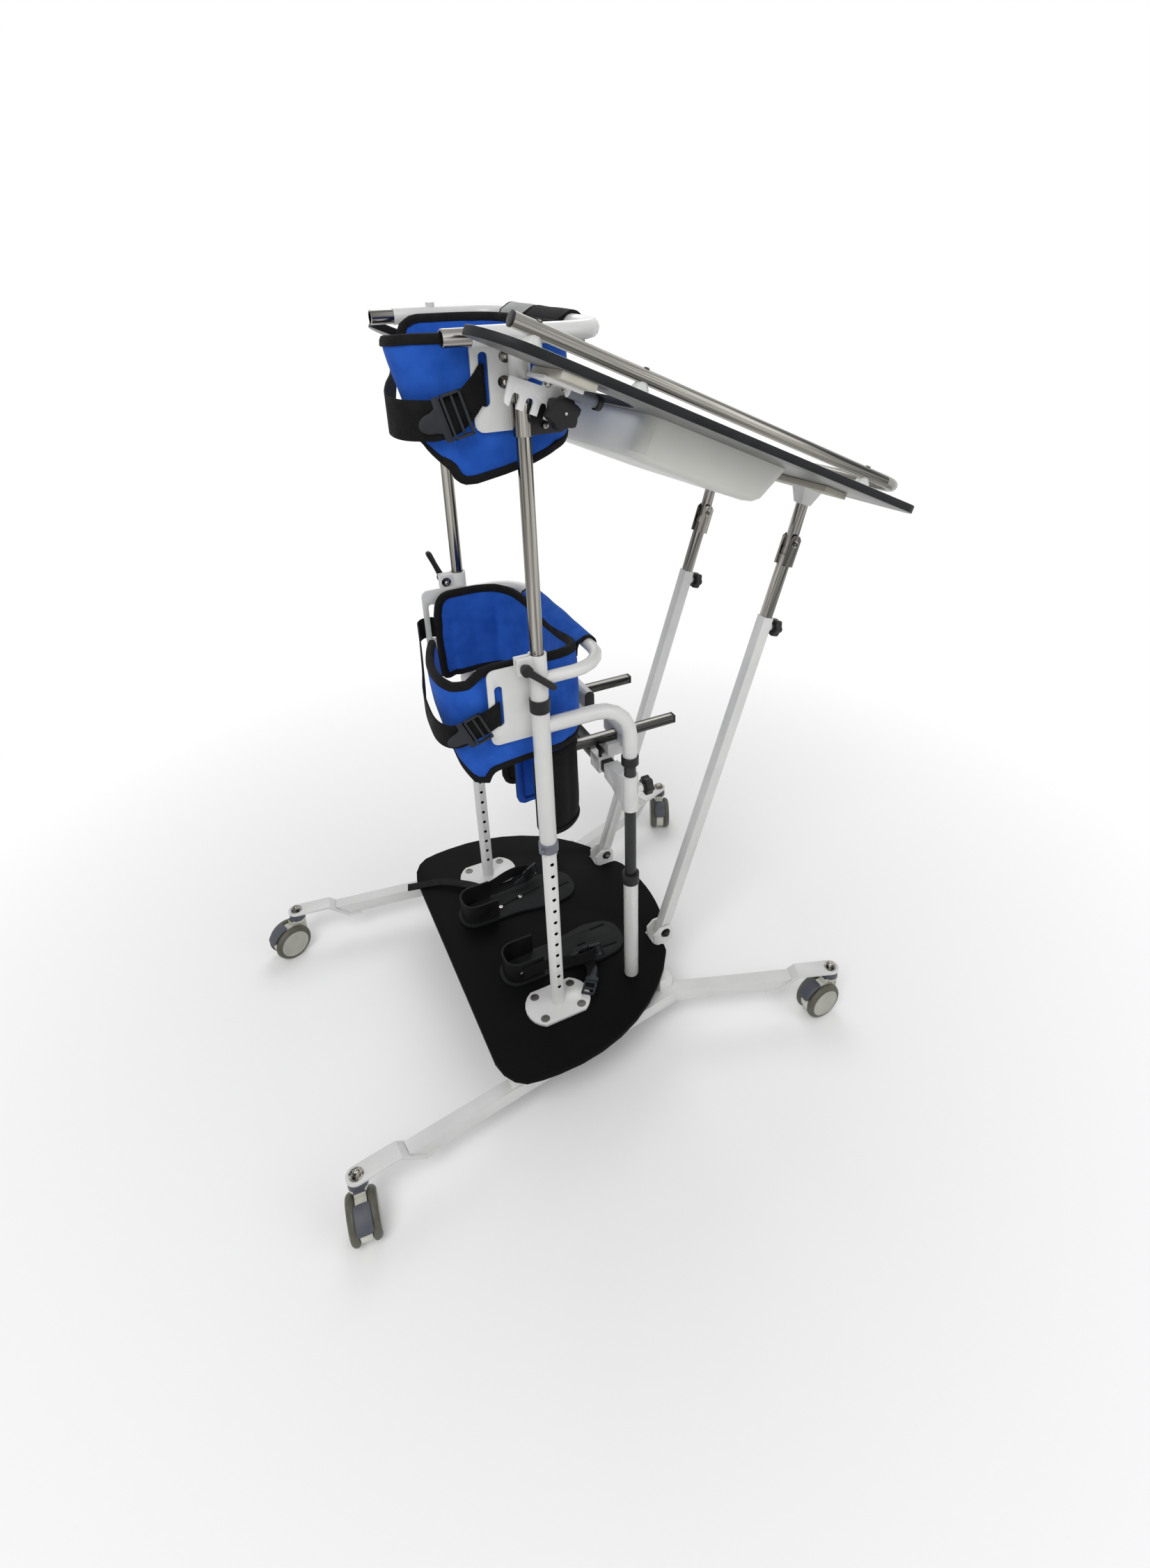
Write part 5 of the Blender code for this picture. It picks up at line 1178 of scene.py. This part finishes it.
# wing points: x, y, rise of the lower edge, drop of the upper edge, inward lean
chestPad = {
    "front": 0.098, "low": 1.087, "high": 1.268, "sag": 0.0, "crease": 5.12,
    "step": [(5.0, 0.018), (5.2, 0.006), (5.5, -0.002), (6.0, -0.0015)],
    "right": [
        (0.055, -0.118, 0.098, 0.012, 0.018), (0.080, -0.133, 0.091, 0.008, 0.022),
        (0.108, -0.1425, 0.083, 0.004, 0.026), (0.132, -0.139, 0.071, 0.002, 0.022),
        (0.148, -0.120, 0.050, 0.0, 0.012), (0.157, -0.090, 0.017, 0.0, 0.003),
        (0.1622, -0.058, 0.0, 0.0, 0.0),
    ],
    "left": [
        (0.148, -0.066, 0.045, 0.022, 0.0), (0.157, -0.056, 0.030, 0.010, 0.0),
        (0.1605, -0.042, 0.014, 0.002, 0.0), (0.1622, -0.030, 0.004, 0.0, 0.0),
    ],
    "rises": (0.006, 0.016, 0.028, 0.034, 0.035, 0.036, 0.036), "drops": (0.0,) * 7,
}
hipPad = {
    "front": 0.096, "low": 0.647, "high": 0.822, "sag": 0.014, "crease": 6.15,
    "step": [(6.0, -0.025), (6.3, -0.012), (6.6, -0.008), (7.0, -0.006)],
    "right": [
        (-0.012, -0.100, 0.080, 0.022, 0.004), (0.030, -0.1165, 0.078, 0.022, 0.006),
        (0.0735, -0.127, 0.070, 0.022, 0.008), (0.1195, -0.1285, 0.050, 0.022, 0.008),
        (0.145, -0.118, 0.008, 0.025, 0.006), (0.158, -0.100, -0.020, 0.021, 0.002),
        (0.1615, -0.080, -0.022, 0.004, 0.0), (0.1622, -0.058, -0.006, 0.0, 0.0),
    ],
    "left": [
        (0.150, -0.058, 0.0, 0.016, 0.0), (0.1555, -0.050, -0.002, 0.008, 0.0),
        (0.160, -0.040, -0.002, 0.002, 0.0), (0.1622, -0.030, 0.0, 0.0, 0.0),
    ],
    "rises": (-0.002, 0.0, 0.0, 0.0, 0.0, 0.0, 0.0),
    "drops": (0.0, 0.0, 0.002, 0.008, 0.018, 0.024, 0.026),
}
kneePads = {
    "half": [(0.046, 0.006), (0.053, 0.022), (0.054, 0.042), (0.047, 0.063), (0.028, 0.084)],
    "front": (0.0, 0.091), "low": 0.465, "high": 0.625, "thick": 0.0115, "apart": 0.085, "seams": (3, 7),
}


def bodyPad(node, looks):
    front = looks["front"]
    half = []
    for i, (x, y) in enumerate(bodyPads["half"]):
        y = y if i < 4 else front + y
        half.append((bodyPads["side"] - x, y, looks["rises"][i], looks["drops"][i], 0.0))
    left = [(-x, *rest) for x, *rest in looks["left"] + half]
    places = looks["right"] + half + [(0.0, front, looks["rises"][6], looks["drops"][6], 0.0)] + left[::-1]
    last = len(places) - 1
    middle = len(looks["right"]) + 6
    rises = {**{i: p[2] for i, p in enumerate(places)}, **dict(looks["step"])}
    lows = [(mark, looks["low"] + rises[mark]) for mark in sorted(rises)]
    highs = [(i, looks["high"] - p[3] - looks["sag"] * i / last) for i, p in enumerate(places)]
    seams = [looks["crease"]] + [middle + k for k in (-4, -2, 0, 2, 4)]
    paddedBand(
        node, [p[:2] for p in places], lows, highs, bodyPads["thick"], seams,
        [(i, p[4]) for i, p in enumerate(places)], blueFabric, blueFabric, [blackTape, blackTape],
        bodyPads["limit"],
    )


bodyPad("chest_pad", chestPad)
bodyPad("hip_pad", hipPad)
for side, s in sides:
    half = kneePads["half"]
    path = half + [kneePads["front"]] + [(-u, v) for u, v in half[::-1]]
    path = [(s * kneePads["apart"] + u, v) for u, v in path]
    last = len(path) - 1
    low, high, lean = [[(0, value), (last, value)] for value in (kneePads["low"], kneePads["high"], 0.0)]
    paddedBand(
        "knee_pad_" + side, path, low, high, kneePads["thick"], kneePads["seams"], lean,
        blackFabric, blueFabric, [blackTape, blueTape],
    )
print("pads filled")

# straps: webbing from the slots of the plates round the right wing
strapLooks = {
    "thick": 0.0024, "step": 0.006, "fine": 0.002,
    # through the slot: x, where y is measured from, y, share of the first fall
    "threading": (
        (0.1731, "middle", 0.0008, 0.0), (0.1759, "middle", -0.0016, 0.0), (0.177, "edge", 0.0008, 0.0),
        (0.1772, "edge", -0.012, 0.5),
    ),
    "section": (
        (1, -0.97), (1, -0.5), (1, 0.0), (1, 0.5), (1, 0.97), (0.4, 1.0), (-0.4, 1.0), (-1, 0.97), (-1, 0.5),
        (-1, 0.0), (-1, -0.5), (-1, -0.97), (-0.4, -1.0), (0.4, -1.0),
    ),
}
chestStrap = {
    "slot": (-0.0475, -0.0355), "height": 1.2085, "tall": 0.050, "buckle": 4.6, "span": 6, "lift": 0.0018,
    "route": [
        (0.1765, -0.078, 0.030), (0.172, -0.104, 0.038), (0.163, -0.126, 0.038), (0.146, -0.142, 0.038),
        (0.121, -0.1495, 0.037), (0.095, -0.147, 0.035), (0.050, -0.134, 0.030), (0.0, -0.1165, 0.026),
        (-0.050, -0.103, 0.020), (-0.100, -0.0895, 0.014), (-0.145, -0.0775, 0.010),
        (-0.168, -0.0705, 0.006),
    ],
}
hipStrap = {
    "slot": (-0.0635, -0.0515), "height": 0.7427, "tall": 0.039, "buckle": 4.5, "span": 6, "lift": 0.0018,
    "route": [
        (0.1765, -0.094, 0.012), (0.172, -0.116, 0.022), (0.158, -0.134, 0.026), (0.134, -0.144, 0.024),
        (0.100, -0.1445, 0.018), (0.060, -0.140, 0.012), (0.010, -0.127, 0.008), (-0.050, -0.113, 0.006),
        (-0.100, -0.1015, 0.004), (-0.145, -0.0915, 0.002), (-0.168, -0.0865, 0.001),
    ],
}


def strapSpots(looks):
    start = {"edge": looks["slot"][0], "middle": sum(looks["slot"]) / 2}
    first = looks["route"][0][2]
    near = [(x, start[label] + y, share * first) for x, label, y, share in strapLooks["threading"]]
    far = [(-x, y, 0.0) for x, y, fall in near]
    return [at(x, y, looks["height"] - fall) for x, y, fall in near + looks["route"] + far[::-1]]


def webbingRun(name, spots, tall, node, stands=(), lying=False):
    arcs = travelled(spots)
    profile = [(strapLooks["thick"] / 2 * a, tall / 2 * b) for a, b in strapLooks["section"]]
    bm, uv = clothMesh()
    rings = []
    for k, spot in enumerate(spots):
        along = courseAt(spots, k)
        out = Vector((along.y, -along.x, 0)).normalized()
        wide = upright
        if lying:
            wide = out
            out = along.cross(wide).normalized()
        rings.append([(bm.verts.new(spot + out * a + wide * b), arcs[k], b) for a, b in profile])
    skin(bm, uv, rings)
    for ring in (rings[0], rings[-1]):
        bm.faces.new([corner[0] for corner in ring])
    return dressAs(node, fromBmesh(name, bm, 50), [blackWebbing], stands)


for node, looks in (("chest_strap", chestStrap), ("hip_strap", hipStrap)):
    spots, marks = smoothPath(strapSpots(looks), strapLooks["step"])
    webbingRun(node + "_webbing", spots, looks["tall"], node, (node,))


# side-release buckles: a frame with a bar for the webbing, and a clasp with a round tongue
buckleLooks = {
    "thick": 0.0052, "rail": 0.0036, "long": 0.0265, "strip": 0.0105, "tongue": 0.036, "bar": 0.46,
    "barHigh": 0.62, "base": 0.0004, "clasp": 0.72, "shoulder": 0.008, "neck": 0.55, "round": 0.44,
    "ridge": (-0.0040, -0.0018), "ridgeHalf": 0.98, "waist": 0.97, "gap": 0.0015, "notch": 0.001,
    "steps": 12, "edge": 0.0010, "sharp": 30,
}


def strapBuckle(name, node, centre, along, up, out, tall):
    rail, long, thick = [buckleLooks[label] for label in ("rail", "long", "thick")]
    strip, base = buckleLooks["strip"], buckleLooks["base"]
    half = tall / 2 + rail
    bar = long * buckleLooks["bar"]
    blocks = []
    for sign in (-1, 1):
        edge = sorted((sign * half, sign * (half - rail)))
        blocks.append((rectangle(0.0, long, *edge), 0.0, thick))
    for a in (0.0, bar, long - rail):
        high = thick * (buckleLooks["barHigh"] if a == bar else 1.0)
        blocks.append((rectangle(a, a + rail, -half, half), 0.0, high))
    neck = (-strip - buckleLooks["notch"], buckleLooks["neck"] * half)
    gap, waist = buckleLooks["gap"], half * buckleLooks["waist"]
    outline = [(-gap, -half), (-gap, half), (-strip, waist), neck]
    root = -strip - buckleLooks["shoulder"]
    reach = buckleLooks["tongue"] + root
    steps = buckleLooks["steps"]
    for k in range(steps + 1):
        turn = math.pi * (0.5 + k / steps)
        outline.append((root + reach * math.cos(turn), buckleLooks["round"] * half * math.sin(turn)))
    outline += [(neck[0], -neck[1]), (-strip, -waist)]
    blocks.append((outline, base, thick * buckleLooks["clasp"]))
    ridge = half * buckleLooks["ridgeHalf"]
    blocks.append((rectangle(*buckleLooks["ridge"], -ridge, ridge), base, thick))
    bm = bmesh.new()
    for shape, low, high in blocks:
        slab(bm, shape, centre, along, up, out, low, high)
    obj = fromBmesh(name, bm, buckleLooks["sharp"])
    softenEdges(obj, buckleLooks["edge"], buckleLooks["sharp"])
    return dressAs(node, obj, [slateBlack])


def buckleOn(node, spots, marks, looks, s=1):
    k, span = nearest(marks, looks["buckle"]), looks["span"]
    along = (spots[k - span] - spots[k + span]).normalized()
    up = upright - along * along.z
    up.normalize()
    out = along.cross(up)
    out = -out if out.x * s < 0 else out
    strapBuckle(node + "_buckle", node, spots[k] + out * looks["lift"], along, up, out, looks["tall"])


for node, looks in (("chest_strap", chestStrap), ("hip_strap", hipStrap)):
    spots, marks = smoothPath(strapSpots(looks), strapLooks["fine"])
    buckleOn(node, spots, marks, looks)

# instep straps stand open on the outer sides of the sandals, with a buckle near the loose end
instepStrap = {
    "tall": 0.024, "buckle": 7.0, "span": 2, "lift": 0.0016, "step": 0.004,
    "route": (
        (0.0335, -0.092, 0.158), (0.0337, -0.066, 0.160), (0.0370, -0.038, 0.162), (0.0460, -0.010, 0.163),
        (0.0525, 0.016, 0.161), (0.0510, 0.038, 0.159), (0.0420, 0.050, 0.157), (0.0345, 0.040, 0.154),
        (0.0360, 0.018, 0.151),
    ),
}
for side, s in sides:
    node = "sandal_" + side
    px, py = sandalLooks[side]["place"]
    route = [at(px + s * x, py + y, z) for x, y, z in instepStrap["route"]]
    spots, marks = smoothPath(route, instepStrap["step"])
    webbingRun(node + "_strap", spots, instepStrap["tall"], node)
    buckleOn(node, spots, marks, instepStrap, s)

# loose ends lie over the flange on the right and over the rear edge of the plate on the left
looseEnds = {
    "right": ((0.138, 0.086, 0.140), (0.156, 0.084, 0.142), (0.176, 0.076, 0.140), (0.194, 0.062, 0.138)),
    "left": (
        (-0.120, -0.046, 0.164), (-0.140, -0.044, 0.156), (-0.160, -0.050, 0.147), (-0.184, -0.068, 0.1402),
        (-0.206, -0.096, 0.1382), (-0.219, -0.124, 0.1346), (-0.226, -0.147, 0.1324),
        (-0.231, -0.166, 0.1320),
    ),
    "wide": 0.020, "step": 0.004, "buckle": 0.017, "lift": 0.0014,
}
for side, s in sides:
    node = "sandal_" + side
    spots, marks = smoothPath([at(*p) for p in looseEnds[side]], looseEnds["step"])
    webbingRun(node + "_loose_end", spots, looseEnds["wide"], node, lying=True)
    if side == "right":
        along = (spots[-1] - spots[-3]).normalized()
        flat = Vector((along.y, -along.x, 0)).normalized()
        rise = flat.cross(along)
        rise = -rise if rise.z < 0 else rise
        centre = spots[-4] + rise * looseEnds["lift"]
        strapBuckle(node + "_end_buckle", node, centre, along, flat, rise, looseEnds["buckle"])

# flaps of the pads fold over the front tubes of the rings
flaps = {
    "hip_pad": {"front": 0.115, "high": 0.7925, "radius": 0.0100, "spans": ((-0.126, 0.118, blueFabric),)},
    "chest_pad": {
        "front": 0.120, "high": 1.266, "radius": 0.0125,
        "spans": ((-0.145, -0.040, greyFabric), (-0.035, 0.086, blackFabric)),
    },
    "thick": 0.0024, "clear": 0.0009, "hang": 0.026, "edge": 0.0085, "step": 0.006, "wave": 0.0011,
    "rear": ((0.0088, -0.016), (0.0080, -0.004), (0.0048, 0.0045)),
    "fall": ((0.0006, -0.008), (0.0012, -0.016)), "turns": (120, -1, -15), "wavePitch": (26, 34),
}


def flapSection(radius):
    r = radius + flaps["clear"]
    line = [(-r - y, z) for y, z in flaps["rear"]]
    for angle in range(*flaps["turns"]):
        line.append((r * math.cos(math.radians(angle)), r * math.sin(math.radians(angle))))
    line += [(r + y, z) for y, z in flaps["fall"]]
    line.append((line[-1][0], -flaps["hang"]))
    return [Vector((0, y, z)) for y, z in line]


def ringFlap(node, looks, number, low, high, fabric):
    line = flapSection(looks["radius"])
    arcs = travelled(line)
    count = max(2, round((high - low) / flaps["step"]))
    alongPitch, downPitch = flaps["wavePitch"]
    bm, uv = clothMesh()
    rings = []
    for k in range(count + 1):
        x = low + (high - low) * k / count
        inner, outer = [], []
        for i, spot in enumerate(line):
            way = courseAt(line, i)
            normal = Vector((0, -way.z, way.y))
            wave = flaps["wave"] * (1 + noise.noise(Vector((x * alongPitch, arcs[i] * downPitch, number))))
            base = at(x, looks["front"], looks["high"]) + spot
            inner.append((base, x, arcs[i]))
            outer.append((base + normal * (flaps["thick"] + wave), x, arcs[i]))
        rings.append([(bm.verts.new(place), *marks) for place, *marks in inner + outer[::-1]])

    def hemmed(k, i, corners):
        x = low + (high - low) * (k + 0.5) / count
        mark = (corners[0][2] + corners[2][2]) / 2
        return int(min(x - low, high - x, mark, arcs[-1] - mark) < flaps["edge"])

    skin(bm, uv, rings, hemmed)
    for ring in (rings[0], rings[-1]):
        for i in range(len(line) - 1):
            corners = (ring[i], ring[i + 1], ring[-2 - i], ring[-1 - i])
            bm.faces.new([c[0] for c in corners]).material_index = 1
    return dressAs(node, fromBmesh("%s_flap_%d" % (node, number), bm, 60), [fabric, blackTape])


for node in ("hip_pad", "chest_pad"):
    for number, (low, high, fabric) in enumerate(flaps[node]["spans"]):
        ringFlap(node, flaps[node], number, low, high, fabric)
print("straps and buckles ready")


# floor, light and camera
def seenRays(tree):
    ray = treeNode(tree, "ShaderNodeLightPath").outputs
    mirrored = mathNode(tree, "MAXIMUM", ray["Is Glossy Ray"], ray["Is Transmission Ray"])
    return mathNode(tree, "MAXIMUM", ray["Is Camera Ray"], mirrored)


stageLooks = {"floor": 0.97, "world": 0.46, "half": 14.0, "shadowReach": (0.55, 1.5), "aim": (0, 0, 0.7)}
floorMesh = bpy.data.meshes.new("floor")
half = stageLooks["half"]
floorMesh.from_pydata(
    [(-half, -half, 0), (half, -half, 0), (half, half, 0), (-half, half, 0)], [], [(0, 1, 2, 3)]
)
floor = linked("floor", floorMesh)
floorFinish = plainFinish("pale_floor", (stageLooks["floor"],) * 3, 0.9)
floorTree = floorFinish.node_tree
whereSeen = treeNode(floorTree, "ShaderNodeTexCoord").outputs["Object"]
farOut = treeNode(floorTree, "ShaderNodeVectorMath", {0: whereSeen}, {"operation": "LENGTH"})
fade = ranged(floorTree, farOut.outputs["Value"], *stageLooks["shadowReach"])
fade = mathNode(floorTree, "MULTIPLY", fade, seenRays(floorTree))
glow = treeNode(floorTree, "ShaderNodeEmission", values={"Strength": 1.0})
shaders = {0: fade, 1: floorTree.nodes["Principled BSDF"].outputs[0], 2: glow.outputs[0]}
blend = treeNode(floorTree, "ShaderNodeMixShader", shaders)
floorTree.links.new(blend.outputs[0], floorTree.nodes["Material Output"].inputs["Surface"])
floor.data.materials.append(floorFinish)

world = bpy.data.worlds.new("studio")
bpy.context.scene.world = world
world.use_nodes = True
sky = world.node_tree.nodes["Background"]
sky.inputs["Color"].default_value = (1, 1, 1, 1)
level = ranged(world.node_tree, seenRays(world.node_tree), 0.0, 1.0, stageLooks["world"])
world.node_tree.links.new(level, sky.inputs["Strength"])

lamps = [
    ("key", (1.9, -1.6, 3.4), 1.6, 52.0),
    ("fill", (2.6, 1.9, 2.2), 2.2, 20.0),
    ("back", (-2.2, 0.9, 3.0), 2.0, 26.0),
]
for name, place, size, power in lamps:
    lamp = bpy.data.lights.new(name, "AREA")
    lamp.size = size
    lamp.energy = power
    obj = linked(name, lamp)
    obj.location = place
    obj.rotation_euler = (Vector(stageLooks["aim"]) - Vector(place)).to_track_quat("-Z", "Y").to_euler()

# the camera as solved from the photo: focal length and centre in its pixels
cameraLooks = {
    "place": at(1.1914, -0.377, 1.3624), "yaw": 153.124, "pitch": 25.857, "roll": 0.765, "focal": 1187.34,
    "centre": (887.44, 926.07), "picture": (1652, 2252), "sensor": 36, "clip": 60,
}
yaw, pitch, roll = [math.radians(cameraLooks[label]) for label in ("yaw", "pitch", "roll")]
ahead = Vector((math.cos(yaw) * math.cos(pitch), math.sin(yaw) * math.cos(pitch), -math.sin(pitch)))
across = Vector((math.sin(yaw), -math.cos(yaw), 0))
down = ahead.cross(across)
across, down = (
    math.cos(roll) * across + math.sin(roll) * down,
    -math.sin(roll) * across + math.cos(roll) * down,
)
cameraData = bpy.data.cameras.new("photo_view")
wide, tall = cameraLooks["picture"]
centreX, centreY = cameraLooks["centre"]
cameraData.sensor_width = cameraLooks["sensor"]
cameraData.lens = cameraLooks["focal"] / tall * cameraLooks["sensor"]
cameraData.shift_x = (wide / 2 - centreX) / tall
cameraData.shift_y = (centreY - tall / 2) / tall
cameraData.clip_end = cameraLooks["clip"]
camera = linked("photo_view", cameraData)
turn = Matrix((across, -down, -ahead)).transposed().to_4x4()
camera.matrix_world = Matrix.Translation(cameraLooks["place"]) @ turn
bpy.context.scene.camera = camera
bpy.context.scene.view_settings.view_transform = "Standard"
print("stage ready")
